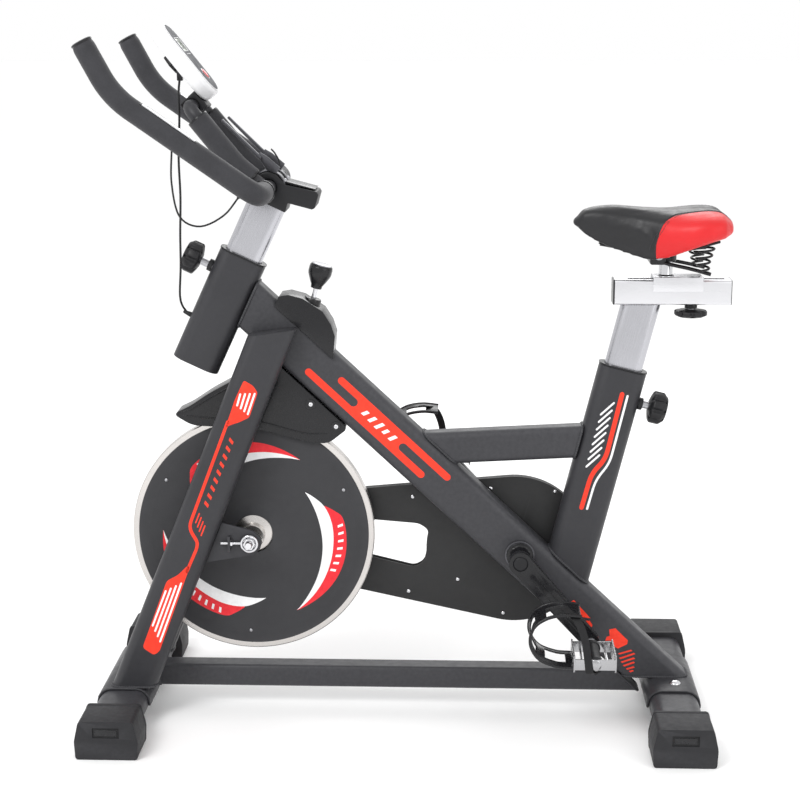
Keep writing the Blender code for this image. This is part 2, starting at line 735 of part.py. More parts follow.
def build_toe_clip(side, sign):
    """Toe basket: a curved band rising in front of the pedal."""
    name = "toe_clip_" + side
    end = crank_end(sign)
    half = 0.034
    curve = [(-0.0345, -0.008), (-0.060, -0.006), (-0.088, 0.006), (-0.102, 0.030)]
    curve += [(-0.098, 0.056), (-0.078, 0.072), (-0.050, 0.078), (-0.022, 0.076)]
    route = smooth_route([Vector((x, 0, z)) for x, z in curve], 0.016)
    verts = []
    for i, point in enumerate(route):
        back = route[max(i - 1, 0)]
        ahead = route[min(i + 1, len(route) - 1)]
        direction = (ahead - back).normalized()
        out = Vector((direction.z, 0.0, -direction.x)) * 0.0015
        for shift, y in ((out, -half), (out, half), (-out, half), (-out, -half)):
            verts.append(point + shift + Y_AXIS * y)
    faces = []
    for i in range(len(route) - 1):
        faces += bridge(4 * i, 4 * i + 4, 4)
    last = 4 * (len(route) - 1)
    faces += [(0, 1, 2, 3), (last, last + 1, last + 2, last + 3)]
    clip = add_object(name, mesh_from(name, verts, faces), BLACK)
    for i, (low, high) in enumerate(TOE_WINDOWS):
        tool = cutter(f"{name}_window_{i}", box_mesh(f"{name}_window_{i}", low, high))
        tool.location = (end.x, sign * 0.1395, end.z)
        combine(clip, tool)
    clip.location = (end.x, sign * 0.1395, end.z)
    return clip


TOE_WINDOWS = (
    ((-0.080, -0.022, -0.020), (-0.045, 0.022, 0.020)),
    ((-0.120, -0.024, 0.018), (-0.080, -0.004, 0.054)),
    ((-0.120, 0.004, 0.018), (-0.080, 0.024, 0.054)),
    ((-0.072, -0.020, 0.060), (-0.040, 0.020, 0.090)),
)


# --------------------------------------------------------------------- brake
def build_brake():
    knob = [(0.0046, 0.4240), (0.0075, 0.4240), (0.0085, 0.4270), (0.0160, 0.4330)]
    knob += [(0.0190, 0.4390), (0.0190, 0.4570), (0.0150, 0.4640), (0.0, 0.4650)]
    body = [(0.0, 0.4500), (0.0046, 0.4500)] + knob
    lathe("brake_knob", body, 24, WHEEL, BRAKE_DIR, BLACK)
    rod = [(0.0, 0.2215), (0.0040, 0.2220), (0.0040, 0.4490), (0.0, 0.4495)]
    lathe("brake_rod", rod, 16, WHEEL, BRAKE_DIR, STEEL)
    pad = prism("brake_pad", brake_pad_outline(), -0.0100, 0.0100, RUBBER)
    drill(pad, "pad_socket", WHEEL, BRAKE_DIR, 0.0043, 0.2212, 0.26, 16)
    move_origin(pad, WHEEL)


def brake_pad_outline():
    """Block whose sole follows the rim, 5 mm clear of it."""
    lean = math.degrees(math.atan2(BRAKE_DIR.z, BRAKE_DIR.x))
    sole = arc(WHEEL.x, WHEEL.z, WHEEL_R + 0.005, lean + 9, lean - 9, 10)
    top = arc(WHEEL.x, WHEEL.z, WHEEL_R + 0.026, lean - 7, lean + 7, 8)
    return sole + top


# ---------------------------------------------------------------- handlebars
def build_handlebar_post():
    start = HEAD_BASE + HEAD_AXIS * 0.030
    end = HEAD_BASE + HEAD_AXIS * POST_TOP
    size = (POST_DEPTH, POST_WIDTH, 0.015)
    post = tube("handlebar_post", start, end, size, CHROME, 0.002, None, None)
    front = Vector((-HEAD_AXIS.z, 0.0, HEAD_AXIS.x))
    for i in range(-1, 5):
        place = HEAD_BASE + HEAD_AXIS * (0.158 - 0.025 * i)
        drill(post, f"post_hole_{i + 1}", place, front, 0.0060, 0.02, 0.06, 10)
    return post


def build_handlebar_clamp():
    """Clamp block on the post, wrapped round the cross bar."""
    outline = arc(BAR.x, BAR.z, 0.0245, 60, 200, 10)
    outline += [(-0.2530, 0.8590), (-0.1930, 0.8310), (-0.1880, 0.8500), (-0.1500, 0.8400)]
    outline += [(-0.1450, 0.8420), (-0.1390, 0.8630), (-0.1420, 0.8680), (-0.1900, 0.8785)]
    clamp = prism("handlebar_clamp", outline, -0.034, 0.034, BLACK)
    drill(clamp, "clamp_bore", BAR, Y_AXIS, BAR_R + GAP, -0.06, 0.06, 24)
    top = HEAD_BASE + HEAD_AXIS * POST_TOP
    start = top + HEAD_AXIS * GAP - HEAD_AXIS * 0.05
    shape = oval(0.120, 0.120, 0.002, 1)
    mesh = sweep_mesh("clamp_seat", shape, start, top + HEAD_AXIS * GAP)
    combine(clamp, cutter("clamp_seat", mesh))
    return clamp


def bar_route(sign):
    points = [Vector((-0.4725, 0.174, 1.0995)), Vector((-0.4319, 0.174, 1.0233))]
    points += [Vector((-0.3170, 0.174, 0.9434)), Vector((BAR.x, 0.174, BAR.z)), BAR]
    return [side_of(p, sign) for p in points]


def build_handlebar():
    """Outer bar with two arms, and the inner loop that carries the monitor."""
    left = rounded_path(bar_route(-1), 0.034)
    right = rounded_path(bar_route(1), 0.034)
    path = left[:-1] + list(reversed(right[:-1]))
    bar = add_object("handlebar", pipe_mesh("handlebar", path, BAR_R, 9), BLACK)
    loop = [Vector((BAR.x, -0.062, BAR.z)), Vector((-0.2640, -0.060, 0.9110))]
    loop += [Vector((-0.3369, -0.056, 1.0004)), Vector((-0.3369, 0.056, 1.0004))]
    loop += [Vector((-0.2640, 0.060, 0.9110)), Vector((BAR.x, 0.062, BAR.z))]
    mesh = pipe_mesh("inner_loop", rounded_path(loop, 0.022), 0.011, 9)
    return combine(bar, cutter("inner_loop", mesh), "UNION")


def build_grip(side, sign):
    """Foam sleeve over one arm, closed by the end cap at its tip."""
    route = bar_route(sign)
    start = route[0] + (route[0] - route[1]).normalized() * 0.004
    stop = Vector((BAR.x, sign * 0.100, BAR.z))
    path = rounded_path([start] + route[1:4] + [stop], 0.034)
    name = "grip_" + side
    grip = add_object(name, pipe_mesh(name, path, GRIP_R, 14), FOAM)
    core = rounded_path(route[:4] + [Vector((BAR.x, sign * 0.080, BAR.z))], 0.034)
    core[0] = core[0] + (route[0] - route[1]).normalized() * GAP
    tool = cutter(name + "_core", pipe_mesh(name + "_core", core, BAR_R + 2 * GAP, 9))
    return combine(grip, tool)


MONITOR_MID = Vector((-0.3385, 0.0, 1.0760))
MONITOR_UP = Vector((-0.6247, 0.0, 0.7809))
MONITOR_OUT = Vector((0.7809, 0.0, 0.6247))


def monitor_place(obj):
    obj.rotation_euler = Matrix((Y_AXIS, MONITOR_UP, MONITOR_OUT)).transposed().to_euler()
    obj.location = MONITOR_MID
    return obj


def plate_mesh(name, width, height, corner, z0, z1, shrink=0.0):
    outline = oval(height, width, corner, 6)
    outline = [(b, a) for a, b in outline]
    top = [(x * (1 - shrink), y * (1 - shrink * width / height)) for x, y in outline]
    count = len(outline)
    verts = [(x, y, z0) for x, y in outline] + [(x, y, z1) for x, y in top]
    faces = bridge(0, count, count)
    faces += [tuple(range(count)), tuple(range(count, 2 * count))]
    return mesh_from(name, verts, faces)


def monitor_cut(target, name, mesh):
    return combine(target, monitor_place(cutter(name, mesh)))


def build_monitor():
    """White shell, dark face with a window recess, and one button."""
    mesh = plate_mesh("monitor_shell", 0.088, 0.136, 0.036, -0.026, -0.002)
    shell = monitor_place(add_object("monitor_shell", mesh, WHITE))
    bevel(shell, 0.006, 2, 40.0)
    monitor_cut(shell, "monitor_seat", plate_mesh("monitor_seat", 0.0646, 0.1286, 0.030, -0.006, 0.01))
    mesh = plate_mesh("monitor_face", 0.064, 0.128, 0.0297, -0.0057, -0.0005, 0.02)
    face = monitor_place(add_object("monitor_face", mesh, NAVY))
    window = box_mesh("display_recess", (-0.020, 0.012, -0.0018), (0.020, 0.038, 0.01))
    monitor_cut(face, "display_recess", window)
    profile = [(0, -0.0042), (0.0092, -0.0042), (0.0092, 0.01), (0, 0.01)]
    well = lathe_mesh("button_well", profile, 24)
    well.transform(Matrix.Translation((0, -0.033, 0)))
    monitor_cut(face, "button_well", well)
    profile = [(0, -0.0032), (0.0088, -0.0032), (0.0088, 0.0002), (0.0065, 0.0016), (0, 0.0018)]
    button = add_object("monitor_button", lathe_mesh("monitor_button", profile, 24), RED)
    monitor_place(button)
    button.location = MONITOR_MID - MONITOR_UP * 0.033


def build_monitor_bracket():
    """Moulded shoe between the inner loop and the monitor."""
    outline = [(-0.0160, -0.0263), (0.0160, -0.0263), (0.0140, -0.0600), (-0.0140, -0.0600)]
    verts = []
    for y in (-0.023, 0.023):
        for up, out in outline:
            centre = MONITOR_MID - MONITOR_UP * 0.060
            verts.append(centre + MONITOR_UP * up + MONITOR_OUT * out + Y_AXIS * y)
    faces = bridge(0, 4, 4) + [(0, 1, 2, 3), (4, 5, 6, 7)]
    bracket = add_object("monitor_bracket", mesh_from("monitor_bracket", verts, faces), BLACK)
    bevel(bracket, 0.002, 2)
    loop = Vector((-0.3369, 0, 1.0004))
    drill(bracket, "bracket_bore", loop, Y_AXIS, 0.0113, -0.06, 0.06, 24)
    return bracket


# --------------------------------------------------------------------- knobs
def build_knob(name, base, axis, screw, neck, flat=1.0):
    """Fluted hand knob with its collar and screw; origin at the tube face."""
    profile = [(0.0, -screw), (0.0050, -screw), (0.0055, -screw + 0.001), (0.0055, 0.0003)]
    profile += [(0.0100, 0.0003), (0.0100, 0.0070), (0.0065, 0.0075), (0.0065, neck)]
    grip = [(0.0180, 0.002), (0.0262, 0.006), (0.0262, 0.022), (0.0215, 0.028), (0.0, 0.029)]
    profile += [(r, neck + h * flat) for r, h in grip]
    knob = lathe(name, profile, 24, base, axis, BLACK)
    for i in range(6):
        a = math.radians(60 * i)
        flute = [(0, neck + 0.001 * flat), (0.0060, neck + 0.001 * flat), (0.0060, 0.06), (0, 0.06)]
        tool = cutter(f"{name}_flute_{i}", lathe_mesh(f"{name}_flute_{i}", flute, 6))
        tool.data.transform(Matrix.Translation((0.0288 * math.cos(a), 0.0288 * math.sin(a), 0)))
        turn_to(tool, base, axis)
        combine(knob, tool)
    return knob


def build_knobs():
    front = Vector((-HEAD_AXIS.z, 0.0, HEAD_AXIS.x))
    head = HEAD_BASE + HEAD_AXIS * 0.158 + front * (HEAD_DEPTH / 2)
    build_knob("head_knob", head, front, 0.0070, 0.0200)
    rear = Vector((SEAT_AXIS.z, 0.0, -SEAT_AXIS.x))
    seat = SEAT_BASE + SEAT_AXIS * 0.292 + rear * (SEAT_DEPTH / 2)
    build_knob("seat_knob", seat, rear, 0.0070, 0.0170)


# ---------------------------------------------------------------------- seat
RAIL_LOW = Vector((0.330, 0.0, 0.7075))
RAIL_HIGH = Vector((0.5155, 0.0, 0.7075))


def build_seat_post():
    """Oval post welded to the slotted slider rail."""
    end = SEAT_BASE + SEAT_AXIS * 0.4533
    cut = Z_AXIS
    outer = oval(POST_DEPTH, POST_WIDTH, 0.015)
    inner = oval(POST_DEPTH - 0.004, POST_WIDTH - 0.004, 0.013)
    direction = SEAT_AXIS.normalized()
    start = end - direction * 0.295
    mesh = sweep_mesh("seat_post", outer, start, end, direction, cut, inner)
    post = add_object("seat_post", mesh, CHROME)
    size = oval(0.040, 0.040, 0.004, 2)
    hollow = oval(0.0355, 0.0355, 0.002, 2)
    rail = sweep_mesh("rail_tube", size, RAIL_LOW, RAIL_HIGH, None, None, hollow)
    combine(post, cutter("rail_tube", rail), "UNION")
    low = (0.352, -0.0070, 0.700)
    high = (0.506, 0.0070, 0.740)
    combine(post, cutter("rail_top_slot", box_mesh("rail_top_slot", low, high)))
    low = (0.412, -0.0070, 0.680)
    high = (0.502, 0.0070, 0.700)
    combine(post, cutter("rail_low_slot", box_mesh("rail_low_slot", low, high)))
    rear = Vector((SEAT_AXIS.z, 0.0, -SEAT_AXIS.x))
    for i in range(-2, 6):
        place = SEAT_BASE + SEAT_AXIS * (0.292 - 0.025 * i)
        drill(post, f"seat_hole_{i + 2}", place, rear, 0.0060, 0.02, 0.06, 10)
    return post


def build_carriage():
    """Slide block in the rail with the plate above it."""
    x0, x1 = 0.391, 0.470
    side = [(-0.0165, 0.6905), (0.0165, 0.6905), (0.0165, 0.7245), (0.0062, 0.7245)]
    side += [(0.0062, 0.7280), (0.0200, 0.7280), (0.0200, 0.7320), (-0.0200, 0.7320)]
    side += [(-0.0200, 0.7280), (-0.0062, 0.7280), (-0.0062, 0.7245), (-0.0165, 0.7245)]
    verts = [(x0, y, z) for y, z in side] + [(x1, y, z) for y, z in side]
    count = len(side)
    faces = bridge(0, count, count) + [tuple(range(count)), tuple(range(count, 2 * count))]
    slide = add_object("seat_carriage", mesh_from("seat_carriage", verts, faces), STEEL)
    profile = [(0, 0.7300), (0.0110, 0.7300), (0.0110, 0.7740), (0.0100, 0.7750), (0, 0.7750)]
    stub = cutter("carriage_stub", lathe_mesh("carriage_stub", profile, 24))
    stub.location = (0.412, 0, 0)
    combine(slide, stub, "UNION")
    return drill(slide, "carriage_screw_hole", Vector((0.454, 0, 0)), Z_AXIS, 0.0058, 0.680, 0.700, 16)


def build_saddle():
    build_saddle_cushion()
    build_saddle_shell()
    clamp = [(0.0113, 0.7560), (0.0165, 0.7560), (0.0165, 0.7775), (0.0113, 0.7775)]
    lathe("saddle_clamp", clamp, 24, (0.412, 0, 0), Z_AXIS, CHROME, ring=True)
    build_saddle_springs()


SADDLE_STATIONS = (
    # x, half width, top, edge drop, underside, skirt edge, inner half width
    (0.2650, 0.0120, 0.8240, 0.008, 0.8130, 0.8125, 0.006),
    (0.2760, 0.0200, 0.8370, 0.014, 0.8035, 0.8020, 0.012),
    (0.2950, 0.0265, 0.8425, 0.020, 0.7930, 0.7905, 0.018),
    (0.3200, 0.0320, 0.8435, 0.026, 0.7830, 0.7790, 0.023),
    (0.3500, 0.0400, 0.8420, 0.030, 0.7820, 0.7695, 0.030),
    (0.3800, 0.0540, 0.8395, 0.036, 0.7820, 0.7630, 0.039),
    (0.4100, 0.0740, 0.8380, 0.038, 0.7820, 0.7685, 0.057),
    (0.4400, 0.0900, 0.8390, 0.038, 0.7866, 0.7815, 0.072),
    (0.4700, 0.0950, 0.8405, 0.034, 0.7933, 0.7925, 0.078),
    (0.4950, 0.0880, 0.8380, 0.028, 0.7995, 0.7990, 0.070),
    (0.5080, 0.0680, 0.8280, 0.018, 0.8040, 0.8035, 0.050),
)


def saddle_section(station, count=16):
    """One cross-section of the cushion: crowned top, hanging skirts, flat underside."""
    x, half, top, drop, low, skirt, inner = station
    edge = top - drop
    points = []
    for i in range(count + 1):
        a = math.pi * i / count
        points.append(Vector((x, -half * math.cos(a), edge + drop * math.sin(a) ** 0.55)))
    fall = edge - skirt
    side = [(half * 0.985, edge - fall * 0.35), (half * 0.955, edge - fall * 0.75)]
    side += [(half * 0.90, skirt + fall * 0.04), (half * 0.84, skirt)]
    side += [(inner, skirt + 0.0004), (inner - 0.002, low)]
    right = [Vector((x, y, z)) for y, z in side]
    left = [Vector((x, -y, z)) for y, z in reversed(side)]
    return points + right + left


def build_saddle_cushion():
    rings = [saddle_section(station) for station in SADDLE_STATIONS]
    count = len(rings[0])
    verts = [point for ring in rings for point in ring]
    faces = []
    for i in range(len(rings) - 1):
        faces += bridge(i * count, (i + 1) * count, count)
    for ring, at in ((rings[0], -0.005), (rings[-1], 0.004)):
        middle = sum(ring, Vector()) / count
        verts.append(middle + X_AXIS * at)
    front = len(verts) - 2
    rear = len(verts) - 1
    last = (len(rings) - 1) * count
    for i in range(count):
        j = (i + 1) % count
        faces.append((front, i, j))
        faces.append((rear, last + i, last + j))
    look = ((0.03, 0.03, 0.03), 0.5, 0.0)
    cushion = add_object("saddle_cushion", mesh_from("saddle_cushion", verts, faces), look, False)
    smooth_by_angle(cushion.data, 60.0)
    return cushion


def build_saddle_shell():
    """Moulded base plate under the cushion, turned up towards the rear."""
    verts = []
    for x, half in SHELL_HALF:
        rise = max(0.0, x - 0.42) * 0.22
        low, high = 0.7778 + rise, 0.7815 + rise
        verts += [(x, -half, low), (x, half, low), (x, half, high), (x, -half, high)]
    last = len(verts) - 4
    faces = [(0, 1, 2, 3), (last, last + 1, last + 2, last + 3)]
    for i in range(len(SHELL_HALF) - 1):
        faces += bridge(4 * i, 4 * i + 4, 4)
    return add_object("saddle_shell", mesh_from("saddle_shell", verts, faces), BLACK)


SHELL_HALF = ((0.300, 0.016), (0.340, 0.024), (0.380, 0.036), (0.420, 0.060), (0.460, 0.074), (0.488, 0.066))


def build_saddle_springs():
    """One wire wound into two coils under the rear of the saddle."""
    path = []
    for side, sign in SIDES:
        coil = []
        turns = 3.0
        steps = 26
        for i in range(steps + 1):
            t = i / steps
            a = 2 * math.pi * turns * t
            z = 0.7420 + 0.0400 * t
            x = 0.4660 + 0.0125 * math.cos(a)
            y = sign * (0.0400 - 0.0125 * math.sin(a))
            coil.append(Vector((x, y, z)))
        path.append(coil)
    left, right = path
    wire = list(reversed(left)) + right
    mesh = pipe_mesh("saddle_springs", wire, 0.0022, 6)
    return add_object("saddle_springs", mesh, BLACK)


def build_seat():
    build_seat_post()
    build_carriage()
    build_saddle()
    build_knob("rail_knob", Vector((0.454, 0, 0.6873)), -Z_AXIS, 0.0100, 0.0090, 0.42)


# -------------------------------------------------------------------- cables
SENSOR_ROUTE = (
    (-0.3530, -0.030, 1.0470), (-0.3560, -0.030, 1.0200), (-0.3560, -0.030, 0.9800),
    (-0.3590, -0.030, 0.9200), (-0.3580, -0.030, 0.8600), (-0.3600, -0.031, 0.8000),
    (-0.3600, -0.036, 0.7500), (-0.3650, -0.022, 0.7000), (-0.3630, -0.004, 0.6780),
    (-0.3545, 0.0, 0.6670), (-0.3470, 0.0, 0.6635),
)

PULSE_ROUTE = (
    (-0.3480, -0.155, 0.9450), (-0.3540, -0.130, 0.8900), (-0.3500, -0.090, 0.8350),
    (-0.3250, -0.050, 0.8150), (-0.2900, -0.030, 0.8300), (-0.2650, -0.025, 0.8600),
)


def build_cables():
    sensor = [Vector(p) for p in SENSOR_ROUTE]
    cord("sensor_cable", sensor, 0.0018, 0.0095, BLACK)
    pulse = [Vector(p) for p in PULSE_ROUTE]
    cord("pulse_cable", pulse, 0.0015, 0.0080, BLACK)


def main():
    clear_scene()
    build_frame()
    build_flywheel()
    build_crank_set()
    for side, sign in SIDES:
        build_pedal(side, sign)
        build_toe_clip(side, sign)
    build_brake()
    build_handlebar_post()
    build_handlebar_clamp()
    build_handlebar()
    for side, sign in SIDES:
        build_grip(side, sign)
    build_monitor()
    build_monitor_bracket()
    build_knobs()
    build_seat()
    build_cables()


main()
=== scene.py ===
"""Indoor spin bike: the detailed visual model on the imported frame.

Metres, +Z up, +X to the rear, -Y to the rider's left.
"""
import contextlib
import json
import math

import bmesh
import bpy
from mathutils import Matrix, Vector
from mathutils.bvhtree import BVHTree

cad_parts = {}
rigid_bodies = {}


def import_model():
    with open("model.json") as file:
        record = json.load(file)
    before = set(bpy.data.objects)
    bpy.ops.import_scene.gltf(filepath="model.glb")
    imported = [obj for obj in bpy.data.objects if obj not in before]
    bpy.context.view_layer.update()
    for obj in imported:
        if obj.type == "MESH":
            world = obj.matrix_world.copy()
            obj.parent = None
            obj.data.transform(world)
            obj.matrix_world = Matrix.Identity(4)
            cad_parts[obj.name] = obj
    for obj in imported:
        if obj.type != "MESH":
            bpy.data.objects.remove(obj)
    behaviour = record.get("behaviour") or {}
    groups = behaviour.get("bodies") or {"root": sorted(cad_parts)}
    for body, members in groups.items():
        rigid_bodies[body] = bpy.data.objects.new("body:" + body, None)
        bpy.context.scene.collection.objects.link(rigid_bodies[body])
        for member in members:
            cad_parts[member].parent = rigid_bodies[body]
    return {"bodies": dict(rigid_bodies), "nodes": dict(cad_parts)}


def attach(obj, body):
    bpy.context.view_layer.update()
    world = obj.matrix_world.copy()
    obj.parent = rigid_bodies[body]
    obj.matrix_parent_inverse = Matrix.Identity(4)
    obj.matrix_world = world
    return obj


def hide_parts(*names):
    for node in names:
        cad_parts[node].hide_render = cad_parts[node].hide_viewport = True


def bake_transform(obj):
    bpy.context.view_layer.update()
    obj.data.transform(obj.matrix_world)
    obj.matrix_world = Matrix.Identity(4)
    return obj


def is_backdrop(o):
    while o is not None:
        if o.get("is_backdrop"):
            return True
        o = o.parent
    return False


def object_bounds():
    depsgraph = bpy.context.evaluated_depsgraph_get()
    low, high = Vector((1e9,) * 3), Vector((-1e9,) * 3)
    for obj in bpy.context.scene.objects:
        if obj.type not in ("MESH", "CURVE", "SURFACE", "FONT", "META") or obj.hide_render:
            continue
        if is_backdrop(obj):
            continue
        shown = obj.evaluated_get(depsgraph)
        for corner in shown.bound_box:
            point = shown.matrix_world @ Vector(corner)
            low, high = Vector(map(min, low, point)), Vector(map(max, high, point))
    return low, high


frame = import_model()
CAD_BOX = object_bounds()
BODY_NAMES = {empty: name for name, empty in frame["bodies"].items()}
BODY_OF = {name: BODY_NAMES[obj.parent] for name, obj in frame["nodes"].items()}

# ---------------------------------------------------------------- dimensions
GAP = 0.0003
WHEEL = Vector((-0.256, 0.0, 0.300))
CRANK = Vector((0.185, 0.0, 0.272))
TUBE_DIR = Vector((0.7303, 0.0, -0.6831))
TUBE_TOP = Vector((-0.2559, 0.0, 0.6849))
HEAD_BASE = Vector((-0.3455, 0.0, 0.5855))
HEAD_AXIS = Vector((0.4222, 0.0, 0.9065))
SEAT_BASE = Vector((0.2666, 0.0, 0.2487))
SEAT_AXIS = Vector((0.2379, 0.0, 0.9713))
LEG_TOP = Vector((-0.214, 0.0462, 0.647))
CRADLE_TOP = 0.0606
LEG_FOOT = Vector((-0.449, 0.080, CRADLE_TOP))
BRAKE_DIR = Vector((0.2554, 0.0, 0.9668))
FRONT_X = -0.465
REAR_X = 0.438
BAR = Vector((-0.218, 0.0, 0.8745))
CRANK_LENGTH = 0.175
CRANK_ANGLE = -48.5
PEDAL_Y = 0.1395
HEAD_KNOB_AT = 0.158
SEAT_KNOB_AT = 0.292
HOLE_PITCH = 0.025
RAIL_Z = 0.7075
SADDLE_PIN = Vector((0.412, 0.0, 0.0))
X = Vector((1.0, 0.0, 0.0))
Y = Vector((0.0, 1.0, 0.0))
Z = Vector((0.0, 0.0, 1.0))
HEAD_FRONT = Vector((-HEAD_AXIS.z, 0.0, HEAD_AXIS.x))
SEAT_REAR = Vector((SEAT_AXIS.z, 0.0, -SEAT_AXIS.x))
UNDER_TUBE = Vector((-TUBE_DIR.z, 0.0, TUBE_DIR.x))
SIDES = (("left", -1), ("right", 1))


# The panel seam of the saddle cover: its start, its inner edge, its spread, its height and its lean.
SEAM_X = 0.372
SEAM_Y = 0.024
SEAM_SPREAD = 0.000026
SEAM_Z = 0.800
SEAM_LEAN = 0.32


def mm(*points):
    """Points given in millimetres."""
    return [tuple(value / 1000 for value in point) for point in points]


def new_object(name, data):
    obj = bpy.data.objects.new(name, data)
    bpy.context.collection.objects.link(obj)
    return obj


# ----------------------------------------------------------- camera and room
def build_camera():
    """The camera fitted to the photo, turned by pitch, yaw and roll."""
    pitch, yaw, roll = 0.22218, 0.0405038, -0.0025948
    ahead = Vector((-math.sin(yaw) * math.cos(pitch), math.cos(yaw) * math.cos(pitch), -math.sin(pitch)))
    right = Vector((math.cos(yaw), math.sin(yaw), 0.0))
    up = right.cross(ahead)
    side = right * math.cos(roll) + up * math.sin(roll)
    top = up * math.cos(roll) - right * math.sin(roll)
    camera = new_object("camera", bpy.data.cameras.new("camera"))
    turn = Matrix((side, top, -ahead)).transposed().to_4x4()
    camera.matrix_world = Matrix.Translation((0.098, -2.7308, 1.1431)) @ turn
    camera.data.sensor_width = 36.0
    camera.data.lens = 77.22
    camera.data.clip_start = 0.05
    bpy.context.scene.camera = camera


def area_light(name, place, target, size, power):
    data = bpy.data.lights.new(name, "AREA")
    data.shape = "DISK"
    data.size = size
    data.energy = power
    lamp = new_object(name, data)
    lamp.location = place
    lamp.rotation_euler = (Vector(target) - Vector(place)).to_track_quat("-Z", "Y").to_euler()


def build_room():
    area_light("key", (-1.7, -2.3, 3.1), (0, 0, 0.5), 1.6, 60)
    area_light("fill", (2.6, -2.4, 1.7), (0.1, 0, 0.5), 2.4, 16)
    area_light("back", (0.4, 2.8, 2.6), (0, 0, 0.6), 2.2, 30)
    world = bpy.data.worlds.new("studio")
    world.use_nodes = True
    back = world.node_tree.nodes["Background"]
    back.inputs["Color"].default_value = (1.0, 1.0, 1.0, 1.0)
    back.inputs["Strength"].default_value = 1.0
    bpy.context.scene.world = world
    bpy.context.scene.view_settings.view_transform = "Standard"
    mesh = bpy.data.meshes.new("floor")
    mesh.from_pydata([(-40, -40, 0), (40, -40, 0), (40, 40, 0), (-40, 40, 0)], [], [(0, 1, 2, 3)])
    floor = new_object("floor", mesh)
    floor.location.z = -0.0004
    look = Look("floor_paper", (0.955, 0.955, 0.955), 0.80, spec=0.1)
    look.vary(3.0, 0.01)
    look.bump(420.0, 0.02)
    look.shader.inputs["Emission Color"].default_value = (1.0, 1.0, 1.0, 1.0)
    look.shader.inputs["Emission Strength"].default_value = 0.05
    mesh.materials.append(look.done())
    floor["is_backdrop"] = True


# ----------------------------------------------------------------- materials
class Look:
    """A Principled material built up from procedural layers."""

    def __init__(self, name, colour, rough, metal=0.0, coat=0.0, sheen=0.0, spec=0.5):
        self.mat = bpy.data.materials.new(name)
        self.mat.use_nodes = True
        self.tree = self.mat.node_tree
        self.shader = self.tree.nodes["Principled BSDF"]
        self.put("Base Color", (*colour, 1.0))
        self.put("Roughness", rough)
        self.put("Metallic", metal)
        self.put("Coat Weight", coat)
        self.put("Coat Roughness", 0.12)
        self.put("Sheen Weight", sheen)
        self.put("Specular IOR Level", spec)
        self.mat.diffuse_color = (*colour, 1.0)
        self.rough = rough
        self.colour = None
        self.start = (*colour, 1.0)
        self.relief = None
        self.coords = self.node("ShaderNodeTexCoord").outputs["Object"]

    def put(self, socket, value):
        self.shader.inputs[socket].default_value = value

    def node(self, kind, settings=(), **links):
        made = self.tree.nodes.new(kind)
        for key, value in dict(settings).items():
            setattr(made, key, value)
        for key, value in links.items():
            socket = made.inputs[int(key[1:])] if key[0] == "i" and key[1:].isdigit() else made.inputs[key]
            if isinstance(value, bpy.types.NodeSocket):
                self.tree.links.new(value, socket)
            else:
                socket.default_value = value
        return made

    def math(self, operation, a, b=0.0, c=0.0):
        return self.node("ShaderNodeMath", {"operation": operation}, i0=a, i1=b, i2=c).outputs[0]

    def stretch(self, tilt, along, across):
        """Coordinates squeezed along one axis tilted about Y, for brushed metal."""
        mapping = self.node("ShaderNodeMapping", {"vector_type": "TEXTURE"}, Vector=self.coords)
        mapping.inputs["Rotation"].default_value = (0.0, tilt, 0.0)
        mapping.inputs["Scale"].default_value = (across, across, along)
        return mapping.outputs[0]

    def noise(self, scale, detail=3.0, where=None, rough=0.55):
        made = self.node("ShaderNodeTexNoise", Vector=where or self.coords, Scale=scale, Detail=detail)
        made.inputs["Roughness"].default_value = rough
        return made.outputs[0]

    def span(self, value, low, high, start=0.0, end=1.0):
        made = self.node("ShaderNodeMapRange", Value=value)
        for key, number in (("From Min", low), ("From Max", high), ("To Min", start), ("To Max", end)):
            made.inputs[key].default_value = number
        return made.outputs[0]

    def blend(self, factor, colour, mode="MIX"):
        made = self.node("ShaderNodeMix", {"data_type": "RGBA", "blend_type": mode}, i0=factor)
        if self.colour is None:
            made.inputs[6].default_value = self.start
        else:
            self.tree.links.new(self.colour, made.inputs[6])
        made.inputs[7].default_value = (*colour, 1.0)
        self.colour = made.outputs[2]

    def vary(self, scale, amount):
        """Soft patches, lighter and darker by the amount."""
        patch = self.noise(scale, 4.0)
        light = tuple(min(1.0, c * (1 + amount)) for c in self.start[:3])
        dark = tuple(c * (1 - amount) for c in self.start[:3])
        self.blend(self.span(patch, 0.35, 0.65), light)
        self.blend(self.span(patch, 0.55, 0.30), dark)

    def roughen(self, scale, amount, where=None):
        value = self.span(self.noise(scale, 3.0, where), 0.3, 0.7, self.rough - amount,
                          self.rough + amount)
        self.tree.links.new(value, self.shader.inputs["Roughness"])

    def add_relief(self, height, strength, distance=0.001):
        made = self.node("ShaderNodeBump", Height=height, Strength=strength, Distance=distance)
        if self.relief is not None:
            self.tree.links.new(self.relief, made.inputs["Normal"])
        self.relief = made.outputs[0]

    def bump(self, scale, strength, where=None, detail=3.0, distance=0.001):
        self.add_relief(self.noise(scale, detail, where), strength, distance)

    def wear(self, colour, low=0.52, high=0.60):
        """Paler edges where the surface turns sharply."""
        point = self.node("ShaderNodeNewGeometry").outputs["Pointiness"]
        mask = self.math("MULTIPLY", self.span(point, low, high), self.noise(160.0, 4.0))
        self.blend(mask, colour)

    def done(self):
        if self.colour is not None:
            self.tree.links.new(self.colour, self.shader.inputs["Base Color"])
        if self.relief is not None:
            self.tree.links.new(self.relief, self.shader.inputs["Normal"])
        return self.mat


